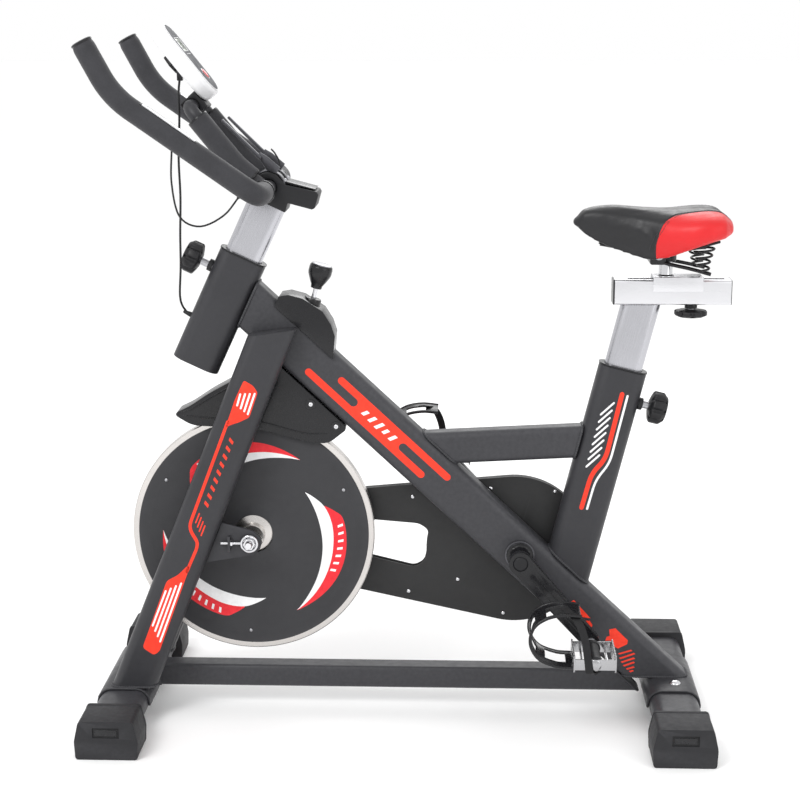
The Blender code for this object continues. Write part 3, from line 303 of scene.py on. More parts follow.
def paint_look(name, colour, rough=0.42, grain=0.10):
    """Fine-textured powder coat."""
    look = Look(name, colour, rough, 0.0, spec=0.30)
    look.vary(9.0, 0.07)
    look.wear(tuple(min(1.0, c * 2.0 + 0.008) for c in colour))
    look.roughen(70.0, 0.07)
    look.bump(1500.0, grain, distance=0.0004)
    look.bump(260.0, grain * 0.5, distance=0.0006)
    return look.done()


def plastic_look(name, colour, rough=0.45, grain=0.12, scale=1900.0, coat=0.0):
    look = Look(name, colour, rough, 0.0, coat=coat, spec=0.32)
    look.vary(14.0, 0.06)
    look.wear(tuple(min(1.0, c * 1.7 + 0.008) for c in colour), 0.53, 0.64)
    look.roughen(120.0, 0.06)
    look.bump(scale, grain, distance=0.0003)
    return look.done()


def metal_look(name, colour, rough, tilt=0.0, strength=0.05, along=0.5):
    """Metal with a fine brushed lay along one direction."""
    look = Look(name, colour, rough, 1.0)
    lay = look.stretch(tilt, along, 0.004)
    look.vary(6.0, 0.04)
    look.roughen(3.0, 0.07, lay)
    look.bump(9.0, strength, lay, 4.0, 0.0004)
    return look.done()


def turned_look(name, colour, rough, centre, flat=(1.0, 0.0, 1.0)):
    """Metal turned about the Y axis, its rings centred on a point."""
    look = Look(name, colour, rough, 1.0)
    shift = look.node("ShaderNodeVectorMath", {"operation": "SUBTRACT"}, i0=look.coords, i1=tuple(centre))
    plane = look.node("ShaderNodeVectorMath", {"operation": "MULTIPLY"}, i0=shift.outputs[0], i1=flat)
    radius = look.node("ShaderNodeVectorMath", {"operation": "LENGTH"},
                       i0=plane.outputs[0]).outputs["Value"]
    height = look.node("ShaderNodeSeparateXYZ", Vector=shift.outputs[0]).outputs[1]
    ring = look.math("ADD", radius, look.math("MULTIPLY", height, 1.3))
    line = look.node("ShaderNodeTexNoise", {"noise_dimensions": "1D"}, W=ring, Scale=3200.0, Detail=4.0)
    look.vary(5.0, 0.05)
    rough_map = look.span(line.outputs[0], 0.3, 0.7, rough - 0.08, rough + 0.10)
    look.tree.links.new(rough_map, look.shader.inputs["Roughness"])
    look.add_relief(line.outputs[0], 0.10, 0.0003)
    look.bump(380.0, 0.03)
    return look.done()


def foam_look(name):
    look = Look(name, (0.030, 0.030, 0.034), 0.66, sheen=0.10, spec=0.30)
    look.vary(30.0, 0.12)
    look.roughen(300.0, 0.08)
    cells = look.node("ShaderNodeTexVoronoi", Vector=look.coords, Scale=1500.0).outputs["Distance"]
    look.add_relief(cells, 0.22, 0.0005)
    look.bump(500.0, 0.15, distance=0.0006)
    return look.done()


def vinyl_look(name, colour, panel=None):
    """Grained vinyl; the panel colour fills the rear flanks."""
    look = Look(name, colour, 0.40, spec=0.40)
    if panel:
        split = look.node("ShaderNodeSeparateXYZ", Vector=look.coords)
        lean = look.math("MULTIPLY", look.math("SUBTRACT", split.outputs[2], SEAM_Z), SEAM_LEAN)
        past = look.math("SUBTRACT", look.math("SUBTRACT", split.outputs[0], SEAM_X), lean)
        past = look.math("MAXIMUM", past, 0.0)
        width = look.math("ABSOLUTE", split.outputs[1])
        out = look.math("MAXIMUM", look.math("SUBTRACT", width, SEAM_Y), 0.0)
        reach = look.math("MULTIPLY", past, look.math("MULTIPLY", out, out))
        mask = look.math("GREATER_THAN", reach, SEAM_SPREAD)
        look.blend(mask, panel)
    tone = look.noise(22.0, 4.0)
    look.blend(look.span(tone, 0.40, 0.75, 0.0, 0.22), (1.0, 1.0, 1.0), "SOFT_LIGHT")
    look.roughen(90.0, 0.07)
    grain = look.node("ShaderNodeTexVoronoi", {"feature": "DISTANCE_TO_EDGE"}, Vector=look.coords,
                      Scale=850.0)
    look.add_relief(look.span(grain.outputs[0], 0.0, 0.12), 0.16, 0.0003)
    look.bump(60.0, 0.05)
    return look.done()


def build_looks():
    head, seat = math.atan2(HEAD_AXIS.x, HEAD_AXIS.z), math.atan2(SEAT_AXIS.x, SEAT_AXIS.z)
    return {
        "paint": paint_look("frame_powder_coat", (0.030, 0.030, 0.0335)),
        "disc": paint_look("wheel_cover_paint", (0.034, 0.034, 0.037), 0.55, 0.06),
        "plastic": plastic_look("moulded_plastic", (0.0100, 0.0100, 0.0115)),
        "gloss": plastic_look("smooth_black_plastic", (0.0080, 0.0080, 0.0095), 0.28, 0.05, coat=0.10),
        "rubber": plastic_look("foot_rubber", (0.019, 0.019, 0.0215), 0.60, 0.20, 1200.0),
        "guard": plastic_look("guard_shell", (0.021, 0.021, 0.0215), 0.50, 0.16, 1500.0),
        "foam": foam_look("grip_foam"),
        "post_head": metal_look("head_post_satin", (0.50, 0.50, 0.53), 0.25, head),
        "post_seat": metal_look("seat_post_satin", (0.50, 0.50, 0.53), 0.25, seat),
        "rail": metal_look("rail_brushed", (0.69, 0.69, 0.71), 0.32, math.pi / 2, 0.08),
        "chrome": metal_look("bright_chrome", (0.66, 0.66, 0.68), 0.12, 0.0, 0.02),
        "cage": metal_look("worn_cage_chrome", (0.40, 0.40, 0.41), 0.22, 0.0, 0.04, 0.02),
        "dark_steel": metal_look("dark_bracket_steel", (0.11, 0.11, 0.12), 0.38, 0.2, 0.05, 0.02),
        "steel": metal_look("zinc_steel", (0.42, 0.42, 0.44), 0.30, 0.3, 0.06, 0.02),
        "rim": turned_look("turned_rim", (0.60, 0.575, 0.555), 0.26, WHEEL),
        "hub": turned_look("turned_hub", (0.36, 0.33, 0.30), 0.30, WHEEL),
        "red": paint_look("orange_red_print", (0.74, 0.027, 0.010), 0.50, 0.03),
        "crimson": paint_look("crimson_print", (0.62, 0.014, 0.022), 0.45, 0.03),
        "white": paint_look("white_print", (0.72, 0.72, 0.73), 0.45, 0.03),
        "button": plastic_look("red_button", (0.55, 0.008, 0.012), 0.25, 0.03, coat=0.4),
        "white_case": plastic_look("white_case", (0.74, 0.74, 0.75), 0.32, 0.05, coat=0.2),
        "navy": plastic_look("navy_face", (0.007, 0.009, 0.018), 0.55, 0.02),
        "lcd": plastic_look("display_glass", (0.26, 0.31, 0.23), 0.22, 0.02, coat=0.4),
        "digit": plastic_look("display_digit", (0.015, 0.02, 0.02), 0.4, 0.02),
        "cable": plastic_look("cable_sheath", (0.012, 0.012, 0.013), 0.42, 0.10),
        "belt": plastic_look("belt_rubber", (0.010, 0.010, 0.011), 0.70, 0.25, 900.0),
        "vinyl": vinyl_look("saddle_vinyl", (0.011, 0.011, 0.0125), (0.62, 0.011, 0.014)),
        "thread": plastic_look("seam_thread", (0.040, 0.040, 0.044), 0.7, 0.3),
    }


# ------------------------------------------------------------------- helpers
@contextlib.contextmanager
def editing(mesh):
    bm = bmesh.new()
    bm.from_mesh(mesh)
    yield bm
    bm.to_mesh(mesh)
    bm.free()


def mesh_from(verts, faces):
    mesh = bpy.data.meshes.new("mesh")
    mesh.from_pydata([tuple(v) for v in verts], [], faces)
    with editing(mesh) as bm:
        bmesh.ops.recalc_face_normals(bm, faces=bm.faces)
    return mesh


def worked_out(obj):
    """The object's mesh with its modifiers applied."""
    graph = bpy.context.evaluated_depsgraph_get()
    return bpy.data.meshes.new_from_object(obj.evaluated_get(graph))


def smooth_by_angle(mesh, degrees):
    limit = math.radians(degrees)
    with editing(mesh) as bm:
        for face in bm.faces:
            face.smooth = True
        for edge in bm.edges:
            edge.smooth = len(edge.link_faces) == 2 and edge.calc_face_angle() < limit


def bake(mesh, cuts=(), bevel=0.0, segments=3, angle=32.0):
    """The mesh with its cuts made and its edges rounded."""
    obj = new_object(mesh.name, mesh)
    helpers = []
    for tool in cuts:
        mod = obj.modifiers.new("cut", "BOOLEAN")
        mod.operation = "DIFFERENCE"
        mod.solver = "EXACT"
        mod.object = new_object("tool", tool)
        helpers.append(mod.object)
    if bevel:
        mod = obj.modifiers.new("edge", "BEVEL")
        mod.width = bevel
        mod.segments = segments
        mod.limit_method = "ANGLE"
        mod.angle_limit = math.radians(angle)
    bpy.context.view_layer.update()
    out = worked_out(obj)
    for item in [obj] + helpers:
        bpy.data.objects.remove(item)
    return out


def extra(name, mesh, look, node, crease=38.0):
    """A piece beside a CAD node, on the node's body and in its material slot."""
    mesh.name = name
    mesh.materials.clear()
    mesh.materials.append(LOOKS[look])
    smooth_by_angle(mesh, crease)
    obj = new_object(name, mesh)
    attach(obj, BODY_OF[node])
    return obj


def add(name, mesh, look, node, crease=38.0):
    """The piece that stands for a CAD node."""
    obj = extra(name, mesh, look, node, crease)
    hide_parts(node)
    return obj


def merge(meshes):
    bm = bmesh.new()
    for mesh in meshes:
        bm.from_mesh(mesh)
    out = bpy.data.meshes.new("mesh")
    bm.to_mesh(out)
    bm.free()
    return out


def moved(mesh, place, axis=Z, roll=0.0):
    """Turns a mesh built about its own +Z onto an axis and puts it in place."""
    turn = Z.rotation_difference(Vector(axis).normalized()).to_matrix().to_4x4()
    mesh.transform(Matrix.Translation(Vector(place)) @ turn @ Matrix.Rotation(roll, 4, "Z"))
    return mesh


def node_copy(node, bevel):
    """The CAD node's own shape with its flat faces joined and its edges rounded."""
    mesh = frame["nodes"][node].data.copy()
    with editing(mesh) as bm:
        bmesh.ops.remove_doubles(bm, verts=bm.verts, dist=1e-6)
        bmesh.ops.dissolve_limit(bm, angle_limit=math.radians(1.0), verts=bm.verts, edges=bm.edges)
    return bake(mesh, bevel=bevel)


def oval(depth, width, corner, steps=8):
    points = []
    for quarter in range(4):
        cx = (1, -1, -1, 1)[quarter] * (depth / 2 - corner)
        cy = (1, 1, -1, -1)[quarter] * (width / 2 - corner)
        for step in range(steps + 1):
            a = math.radians(90 * quarter + 90 * step / steps)
            points.append((cx + corner * math.cos(a), cy + corner * math.sin(a)))
    return points


def circle(radius, count):
    steps = [2 * math.pi * i / count for i in range(count)]
    return [(radius * math.cos(a), radius * math.sin(a)) for a in steps]


def arc(cx, cz, radius, start, end, count):
    steps = [math.radians(start + (end - start) * i / count) for i in range(count + 1)]
    return [(cx + radius * math.cos(a), cz + radius * math.sin(a)) for a in steps]


def cross_axes(direction):
    side = direction.cross(Y)
    side = X.copy() if side.length < 0.01 else side.normalized()
    return side, side.cross(direction).normalized()


def loop_on_plane(outline, start, direction, normal, at):
    side, up = cross_axes(direction)
    loop = []
    for a, b in outline:
        base = start + side * a + up * b
        loop.append(base + direction * ((at - base).dot(normal) / direction.dot(normal)))
    return loop


def bridge(first, second, count):
    return [(first + i, first + (i + 1) % count, second + (i + 1) % count,
             second + i) for i in range(count)]


def solid(first, second):
    """Closed mesh between two loops with the same number of points."""
    count = len(first)
    ends = [tuple(range(count)), tuple(range(count, 2 * count))]
    return mesh_from(list(first) + list(second), bridge(0, count, count) + ends)


def sweep(outline, start, end, cut0=None, cut1=None, inner=None):
    """Straight bar between two points with its ends cut by planes."""
    direction = (end - start).normalized()
    count = len(outline)
    verts = []
    for shape in (outline, inner) if inner else (outline,):
        verts += loop_on_plane(shape, start, direction, cut0 or direction, start)
        verts += loop_on_plane(shape, start, direction, cut1 or direction, end)
    faces = bridge(0, count, count)
    if inner:
        faces += bridge(2 * count, 3 * count, count) + bridge(0, 2 * count, count) + bridge(count,
                                                                                            3 * count, count)
    else:
        faces += [tuple(range(count)), tuple(range(count, 2 * count))]
    return mesh_from(verts, faces)


def lathe(profile, segments=48, ring=False, wave=None):
    """Revolves (radius, height) pairs about +Z; wave(angle, row) scales the radius."""
    verts = []
    index = []
    for row, (radius, height) in enumerate(profile):
        if radius < 1e-7:
            index.append([len(verts)] * segments)
            verts.append((0.0, 0.0, height))
            continue
        index.append(list(range(len(verts), len(verts) + segments)))
        for x, y in circle(radius, segments):
            k = wave(math.atan2(y, x), row) if wave else 1.0
            verts.append((x * k, y * k, height))
    faces = []
    rows = len(profile)
    for row in range(rows if ring else rows - 1):
        low = index[row]
        high = index[(row + 1) % rows]
        for i in range(segments):
            j = (i + 1) % segments
            faces.append(tuple(dict.fromkeys([low[i], low[j], high[j], high[i]])))
    return mesh_from(verts, faces)


def turned(profile, place, axis, segments=48, ring=False, wave=None):
    return moved(lathe(profile, segments, ring, wave), place, axis)


def prism(outline, y0, y1):
    low, high = sorted((y0, y1))
    return solid([(x, low, z) for x, z in outline], [(x, high, z) for x, z in outline])


def box(low, high):
    (x0, y0, z0), (x1, y1, z1) = low, high
    return prism([(x0, z0), (x1, z0), (x1, z1), (x0, z1)], y0, y1)


def pin(radius, low, high, place, axis, segments=32):
    """A plain cutter cylinder."""
    return turned([(0, low), (radius, low), (radius, high), (0, high)], place, axis, segments)


def heading(path, i):
    return (path[min(i + 1, len(path) - 1)] - path[max(i - 1, 0)]).normalized()


def rounded(points, radius, steps=8, closed=False):
    """A polyline with its corners turned into curves."""
    count = len(points)
    path = [] if closed else [points[0]]
    for i in range(count) if closed else range(1, count - 1):
        before, corner, after = points[i - 1], points[i], points[(i + 1) % count]
        back, ahead = before - corner, after - corner
        reach = min(radius, back.length * 0.48, ahead.length * 0.48)
        start = corner + back.normalized() * reach
        end = corner + ahead.normalized() * reach
        for step in range(steps + 1):
            t = step / steps
            path.append(start * (1 - t) ** 2 + corner * 2 * t * (1 - t) + end * t * t)
    return path if closed else path + [points[-1]]


def soft_outline(points, radius, steps=5):
    curve = rounded([Vector((x, z, 0.0)) for x, z in points], radius, steps, True)
    return [(p.x, p.y) for p in curve]


def pipe(path, radius, segments=20, closed=False):
    """Round pipe along a path; radius may be a function of the point's number."""
    size = radius if callable(radius) else (lambda i: radius)
    count = len(path)
    rings = []
    normal = None
    for i, point in enumerate(path):
        back = path[i - 1] if closed or i else path[0]
        ahead = path[(i + 1) % count] if closed or i < count - 1 else path[-1]
        direction = (ahead - back).normalized()
        if normal is None:
            normal, _ = cross_axes(direction)
        normal = (normal - direction * normal.dot(direction)).normalized()
        rings.append((point, normal.copy(), direction.cross(normal), size(i)))
    verts = []
    for point, side, up, r in rings:
        verts += [point + side * x + up * y for x, y in circle(r, segments)]
    faces = []
    for i in range(count if closed else count - 1):
        faces += bridge(i * segments, ((i + 1) % count) * segments, segments)
    if not closed:
        faces += [tuple(range(segments)), tuple(range((count - 1) * segments, count * segments))]
    return mesh_from(verts, faces)


def spline(a, b, c, d, t):
    """Catmull-Rom value between b and c."""
    part = b * 2 + (c - a) * t + (a * 2 - b * 5 + c * 4 - d) * t ** 2
    return (part + (b * 3 - a - c * 3 + d) * t ** 3) * 0.5


def smooth_route(points, spacing):
    """Catmull-Rom curve through the route points."""
    points = [Vector(p) for p in points]
    pts = [points[0] * 2 - points[1]] + points + [points[-1] * 2 - points[-2]]
    out = []
    for i in range(1, len(pts) - 2):
        steps = max(2, round((pts[i + 1] - pts[i]).length / spacing))
        out += [spline(*pts[i - 1:i + 3], s / steps) for s in range(steps)]
    return out + [points[-1]]


def resample(loop, spacing):
    """Even points round a closed loop."""
    total = sum((b - a).length for a, b in zip(loop, loop[1:] + loop[:1]))
    count = max(8, round(total / spacing))
    step = total / count
    out = []
    travel = 0.0
    for a, b in zip(loop, loop[1:] + loop[:1]):
        length = (b - a).length
        while length > 0 and travel <= length and len(out) < count:
            out.append(a.lerp(b, travel / length))
            travel += step
        travel -= length
    return out


def weld(name, loop, radius, node="main_tube"):
    """A rippled bead round a joint."""
    path = resample(loop, 0.0012)
    ripple = lambda i: radius * (1.0 + 0.16 * math.sin(i * 1.9))
    extra(name, pipe(path, ripple, 8, True), "paint", node)


def tube_weld(name, outline, start, end, normal, at, radius=0.0022):
    weld(name, loop_on_plane(outline, start, (end - start).normalized(), normal, at), radius)


def stroke(points, width, steps=6, bend=0.006):
    """Outline of a line with round ends, as (s, t) pairs."""
    path = rounded([Vector((s, t, 0.0)) for s, t in points], bend, 5)
    half = width / 2
    left, right = [], []
    for i, point in enumerate(path):
        run = heading(path, i)
        side = Vector((-run.y, run.x, 0.0)) * half
        left.append(point + side)
        right.append(point - side)
    out = list(left)
    for centre, rim in ((path[-1], left[-1]), (path[0], right[0])):
        if centre is path[0]:
            out += list(reversed(right))
        arm = rim - centre
        for i in range(1, steps * 2):
            out.append(centre + Matrix.Rotation(-math.pi * i / (steps * 2), 3, "Z") @ arm)
    return [(p.x, p.y) for p in out]


def slab(shapes, place, low=-0.0004, high=0.00022):
    """Thin printed shapes; place(s, t, height) gives the point."""
    verts, faces = [], []
    for shape in shapes:
        first = len(verts)
        count = len(shape)
        verts += [place(s, t, low) for s, t in shape] + [place(s, t, high) for s, t in shape]
        faces += bridge(first, first + count, count)
        faces += [tuple(range(first, first + count)), tuple(range(first + count, first + 2 * count))]
    return mesh_from(verts, faces)


def hex_wave(angle, row):
    """Radius of a hexagon whose flats are one unit from its middle."""
    turn = (angle + math.pi * 2) % (math.pi / 3) - math.pi / 6
    return 1.0 / math.cos(turn)


def bolt_head(name, place, axis, radius, look, node, kind="dome", height=0.0):
    """Screw or bolt head with a drive recess, standing on a face."""
    height = height or radius * 0.6
    if kind == "hex":
        profile = [(0, 0), (radius, 0), (radius, height * 0.85), (radius * 0.9, height), (0, height)]
        washer = [(0, -0.0002), (radius * 1.45, -0.0002), (radius * 1.45, 0.0010), (0, 0.0010)]
        head = lathe([(r, h + 0.0010) for r, h in profile], 60, wave=hex_wave)
        head = merge([head, lathe(washer, 36)])
    else:
        dome = [(radius * math.cos(a), height * math.sin(a)) for a in (0.0, 0.25, 0.55, 0.85, 1.15, 1.4)]
        recess = [(radius * 0.36, height * 0.93), (radius * 0.30, height * 0.45), (0, height * 0.45)]
        head = lathe([(0, -0.0003), (radius, -0.0003)] + dome + recess, 36)
    extra(name, moved(head, place, axis), look, node)


# --------------------------------------------------------------------- frame
def build_tubes():
    main = oval(0.076, 0.050, 0.014)
    end = TUBE_TOP + TUBE_DIR * ((TUBE_TOP.z - CRADLE_TOP) / -TUBE_DIR.z)
    add("main_tube_shell", sweep(main, TUBE_TOP, end, HEAD_FRONT, Z), "paint", "main_tube")
    tube_weld("main_tube_head_weld", main, TUBE_TOP, end, HEAD_FRONT, TUBE_TOP)
    tube_weld("main_tube_foot_weld", main, TUBE_TOP, end, Z, end)
    top = HEAD_BASE + HEAD_AXIS * 0.193
    outer = oval(0.078, 0.048, 0.020)
    inner = oval(0.0626, 0.0326, 0.0153)
    head = sweep(outer, HEAD_BASE, top, inner=inner)
    cuts = [pin(0.0063, 0.02, 0.06, HEAD_BASE + HEAD_AXIS * HEAD_KNOB_AT, HEAD_FRONT)]
    cuts.append(pin(0.0050, 0.02, 0.06, HEAD_BASE + HEAD_AXIS * 0.070, HEAD_FRONT))
    add("head_tube_shell", bake(head, cuts, bevel=0.0010, angle=60), "paint", "head_tube")
    collar("head_tube_bush", top, HEAD_AXIS, "head_tube")
    top = SEAT_BASE + SEAT_AXIS * 0.3425
    seat = sweep(outer, SEAT_BASE, top, UNDER_TUBE, None, inner)
    cuts = [pin(0.0063, 0.02, 0.06, SEAT_BASE + SEAT_AXIS * SEAT_KNOB_AT, SEAT_REAR)]
    add("seat_tube_shell", bake(seat, cuts, bevel=0.0010, angle=60), "paint", "seat_tube")
    collar("seat_tube_bush", top, SEAT_AXIS, "seat_tube")
    tube_weld("seat_tube_weld", outer, SEAT_BASE, top, UNDER_TUBE, SEAT_BASE)
    start, end = Vector((0.0532, 0, 0.4483)), Vector((0.2780, 0, 0.4603))
    shape = oval(0.054, 0.040, 0.012)
    add("top_tube_shell", sweep(shape, start, end, UNDER_TUBE, SEAT_REAR), "paint", "top_tube")
    tube_weld("top_tube_front_weld", shape, start, end, UNDER_TUBE, start)
    tube_weld("top_tube_rear_weld", shape, start, end, SEAT_REAR, end)
    start, end = Vector((FRONT_X + 0.0446, 0, 0.051)), Vector((0.3656, 0, 0.051))
    shape = oval(0.038, 0.040, 0.007)
    add("bottom_tube_shell", sweep(shape, start, end, X, UNDER_TUBE), "paint", "bottom_tube")
    tube_weld("bottom_tube_front_weld", shape, start, end, X, start + X * 0.001, 0.0018)
    tube_weld("bottom_tube_rear_weld", shape, start, end, UNDER_TUBE, end, 0.0018)
    for side, sign in SIDES:
        build_leg(side, sign)


def collar(name, at, axis, node):
    """Plastic bushing lip round the post where it enters its tube."""
    lip = sweep(oval(0.080, 0.050, 0.021), at + axis * GAP, at + axis * 0.0030,
                inner=oval(0.0628, 0.0328, 0.0154))
    extra(name, bake(lip, bevel=0.0008, angle=60), "gloss", node)


def leg_ends(sign):
    return [Vector((p.x, p.y * sign, p.z)) for p in (LEG_TOP, LEG_FOOT)]


def build_leg(side, sign):
    top, foot = leg_ends(sign)
    shape = oval(0.069, 0.040, 0.016)
    slope = Vector((-0.14, 0.0, 0.99)).normalized()
    leg = bake(sweep(shape, top, foot, slope, Z), bevel=0.0012, angle=60)
    add(f"fork_leg_{side}_shell", leg, "paint", f"fork_leg_{side}")
    tube_weld(f"fork_leg_{side}_weld", shape, top, foot, Z, foot, 0.0022)
    name = f"axle_plate_{side}"
    add(name + "_cut", node_copy(name, 0.0010), "paint", name)


def build_feet():
    for end, x in (("front", FRONT_X), ("rear", REAR_X)):
        low, high = Vector((x, -0.235, 0.035)), Vector((x, 0.235, 0.035))
        bar = sweep(oval(0.080, 0.042, 0.020), low, high)
        add(f"{end}_stabilizer_shell", bar, "paint", f"{end}_stabilizer")
        name = f"{end}_cradle"
        add(name + "_plate", node_copy(name, 0.0014), "paint", name)
        half = 0.104 if end == "front" else 0.085
        for side, sign in SIDES:
            place = (x + 0.005, sign * (half - 0.034), 0.0600)
            bolt_head(f"{name}_bolt_{side}", place, Z, 0.0095, "chrome", name, height=0.0055)
            build_foot(f"{end}_foot_{side}", x, sign)


def build_foot(name, x, sign):
    """Moulded end cap with a lip, a recessed panel and grooves under its sole."""
    outline = mm((-49, 0), (49, 0), (50.5, 30), (43, 63.5), (-43, 63.5), (-50.5, 30))
    shape = soft_outline([(x + a, z) for a, z in outline], 0.0055, 6)
    body = prism(shape, sign * 0.176, sign * 0.2495)
    cuts = [box((x - 0.021, sign * 0.2478, 0.036), (x + 0.021, sign * 0.26, 0.053))]
    for i in range(9):
        y = sign * (0.184 + 0.0075 * i)
        cuts.append(box((x - 0.060, y - 0.0012, -0.002), (x + 0.060, y + 0.0012, 0.0014)))
    add(name + "_cap", bake(body, cuts, bevel=0.0022, angle=50), "rubber", name, crease=50)
    lip = [(x + a * 1.010, 0.0317 + (z - 0.0317) * 1.012) for a, z in outline]
    band = prism(soft_outline(lip, 0.0055, 6), sign * 0.1755, sign * 0.183)
    band.transform(Matrix.Translation((0, 0, 0.0004)))
    # Painted shade: a sheet of the darkest rubber lines the floor of the shallow recess so that it reads as
    # a deep, shaded pit.
    painted_recess_shade = box((x - 0.0208, sign * 0.2470, 0.0362), (x + 0.0208, sign * 0.2479, 0.0528))
    painted_recess_shade = bake(painted_recess_shade, bevel=0.0002)
    extra(name + "_pit", painted_recess_shade, "belt", name)
    label = box((x - 0.0175, sign * 0.2474, 0.0395), (x + 0.0175, sign * 0.2489, 0.0495))
    label = bake(label, bevel=0.0004)
    extra(name + "_panel", label, "gloss", name)
    extra(name + "_lip", bake(band, bevel=0.0012, angle=50), "rubber", name, crease=50)


def build_bottom_bracket():
    shell = mm(
        (8.6, -38.5), (17.2, -38.5), (17.6, -38), (19, -37.2), (21.6, -37), (22, -36.6), (22, 27.5),
        (8.6, 27.5)
    )
    notch = lambda a, row: 1.0 - 0.05 * (math.sin(a * 8) > 0.6) if row in (1, 2) else 1.0
    add("bb_shell_body", turned(shell, CRANK, Y, 96, True, notch), "gloss", "bb_shell")
    ring = mm((22.2, -26.2), (23.8, -26.2), (24.2, -26.6), (24.2, -30), (22.2, -30.4))
    extra("bb_ring", turned(ring, CRANK, Y, 72, True), "dark_steel", "bb_shell")
    axle = mm((0, -73.8), (7.6, -73.8), (8.5, -73), (8.5, 73), (7.6, 73.8), (0, 73.8))
    add("crank_spindle_bar", turned(axle, CRANK, Y, 48), "steel", "crank_spindle")


# ------------------------------------------------------------------ flywheel
def build_flywheel():
    rim = mm(
        (50, -6), (177.5, -6), (179.2, -7.2), (180, -9.8), (180.8, -10.5), (199.5, -10.5), (201, -9.2),
        (201, 9.2), (199.5, 10.5), (180.8, 10.5), (180, 9.8), (179.2, 7.2), (177.5, 6), (50, 6),
        (23, 15), (23, 27.5), (6.3, 27.5), (6.3, -32), (19, -32), (20, -31), (20, -15)
    )
    add("flywheel_disc", turned(rim, WHEEL, Y, 160, True), "rim", "flywheel", crease=25)
    for side, sign in SIDES:
        cover = mm(
            (32, 15), (32.4, 15.5), (70, 15.5), (170, 15.5), (172.2, 15.2), (190.5, 12.8), (191.2, 12.2),
            (191.5, 10.8), (55, 10.8), (32, 13.5)
        )
        shape = [(r, h * sign) for r, h in cover]
        name = f"flywheel_cover_{side}"
        add(name + "_disc", turned(shape, WHEEL, Y, 160, True), "disc", name, crease=25)
        for i, angle in enumerate((27.0, 147.3, -92.6)):
            a = math.radians(angle)
            at = WHEEL + Vector((0.1690 * math.cos(a), 0.01545 * sign, 0.1690 * math.sin(a)))
            bolt_head(f"{name}_screw_{i}", at, Y * sign, 0.0030, "steel", name)
        swooshes(side, sign)
    grooves = mm((6.3, 27.8), (14, 27.8), (14, 30.3), (33.5, 30.3), (34, 30.8))
    for i in range(6):
        grooves += [(0.0336, 0.0312 + 0.0016 * i), (0.0326, 0.0319 + 0.0016 * i)]
    grooves += mm((34, 41), (15, 41), (15, 48), (6.3, 48))
    add("flywheel_pulley_body", turned(grooves, WHEEL, Y, 72, True), "steel", "flywheel_pulley")
    build_axle()


# Edges of one crescent as (radius, angle), measured from the photo through the fitted camera.
CRESCENT_INNER = ((0.1132, 39.8), (0.1112, 24.0), (0.1120, 8.0), (0.1161, -8.0), (0.1235, -26.0),
                  (0.1360, -46.0), (0.1501, -62.1))
CRESCENT_MID = ((0.1132, 39.8), (0.1200, 32.0), (0.1280, 22.0), (0.1322, 8.0), (0.1340, -8.0),
                (0.1390, -30.0), (0.1501, -62.1))
CRESCENT_OUTER = ((0.1290, 22.5), (0.1420, 16.5), (0.1515, 11.0), (0.1550, -3.0), (0.1572, -18.0),
                  (0.1565, -34.0), (0.1501, -62.1))


def swooshes(side, sign):
    """Three two-colour crescents, with plain tick marks along them."""
    def place(r, a, height):
        a = math.radians(a)
        return WHEEL + Vector((r * math.cos(a), sign * (0.0155 + height), r * math.sin(a)))

    def fine(points):
        return [(p.x, p.y) for p in smooth_route([(r * 1000, a, 0.0) for r, a in points], 3.0)]

    inner, mid, outer = fine(CRESCENT_INNER), fine(CRESCENT_MID), fine(CRESCENT_OUTER)
    edge = [p for p in mid if p[1] <= 22.5]
    name = f"flywheel_cover_{side}"
    for look, one, two, high in (("white", inner, mid, 0.00022), ("crimson", edge, outer, 0.00020)):
        shapes = []
        for turn in (0, 120, 240):
            ring = one + list(reversed(two[:-1]))
            shapes.append([(r / 1000, a + turn) for r, a in dict.fromkeys(ring)])
        mesh = slab(shapes, place, -0.0002, high)
        extra(f"{name}_{look}_swoosh", mesh, look, name)
    ticks = []
    for turn in (0, 120, 240):
        for i in range(7):
            a = 6.5 - 5.2 * i + turn
            ticks.append([(0.1412, a), (0.1500, a + 1.0), (0.1500, a - 0.6), (0.1412, a - 1.6)])
    extra(f"{name}_ticks", slab(ticks, place, -0.0002, 0.0004), "white", name)


def build_axle():
    half = mm((6, 0), (6, 66.3), (11.8, 66.3), (12, 67.8), (11.8, 68))
    low = [(r, -h) for r, h in reversed(half)]
    parts = [turned([(0, -0.0680)] + low + half[1:] + [(0, 0.0680)], WHEEL, Y, 48)]
    for sign in (-1, 1):
        nut = mm((5.9, 68.1), (8.8, 68.1), (9.2, 68.8), (9.2, 75.2), (8.4, 76.2), (5.9, 76.2))
        parts.append(turned(nut, WHEEL, Y * sign, 72, True, hex_wave))
        stub = [(0.0, 0.0680)]
        for i in range(12):
            stub += [(0.0060, 0.0682 + 0.0012 * i), (0.0056, 0.0688 + 0.0012 * i)]
        stub += [(0.0050, 0.0838), (0.0, 0.0840)]
        parts.append(turned(stub, WHEEL, Y * sign, 36))
        y = sign * 0.0710
        ring = [WHEEL + Vector((x, y, z)) for x, z in circle(0.0128, 40)]
        parts.append(pipe(ring, 0.0024, 14, True))
        rod = [WHEEL + Vector((-0.0145 - 0.0011 * i, y, 0.0010)) for i in range(30)]
        parts.append(pipe(rod, lambda i: 0.0023 + 0.0003 * (i % 2), 14))
        nut = mm((2.4, 27), (4.8, 27), (4.8, 31), (2.4, 31))
        parts.append(turned(nut, WHEEL + Y * y + Z * 0.001, -X, 36, True, hex_wave))
    add("flywheel_axle_set", merge(parts), "chrome", "flywheel_axle")
    for side, sign in SIDES:
        tab = box((-0.2905, sign * 0.0662, 0.2885), (-0.2865, sign * 0.0790, 0.3135))
        extra(f"tensioner_tab_{side}", bake(tab, bevel=0.0008), "paint", f"axle_plate_{side}")


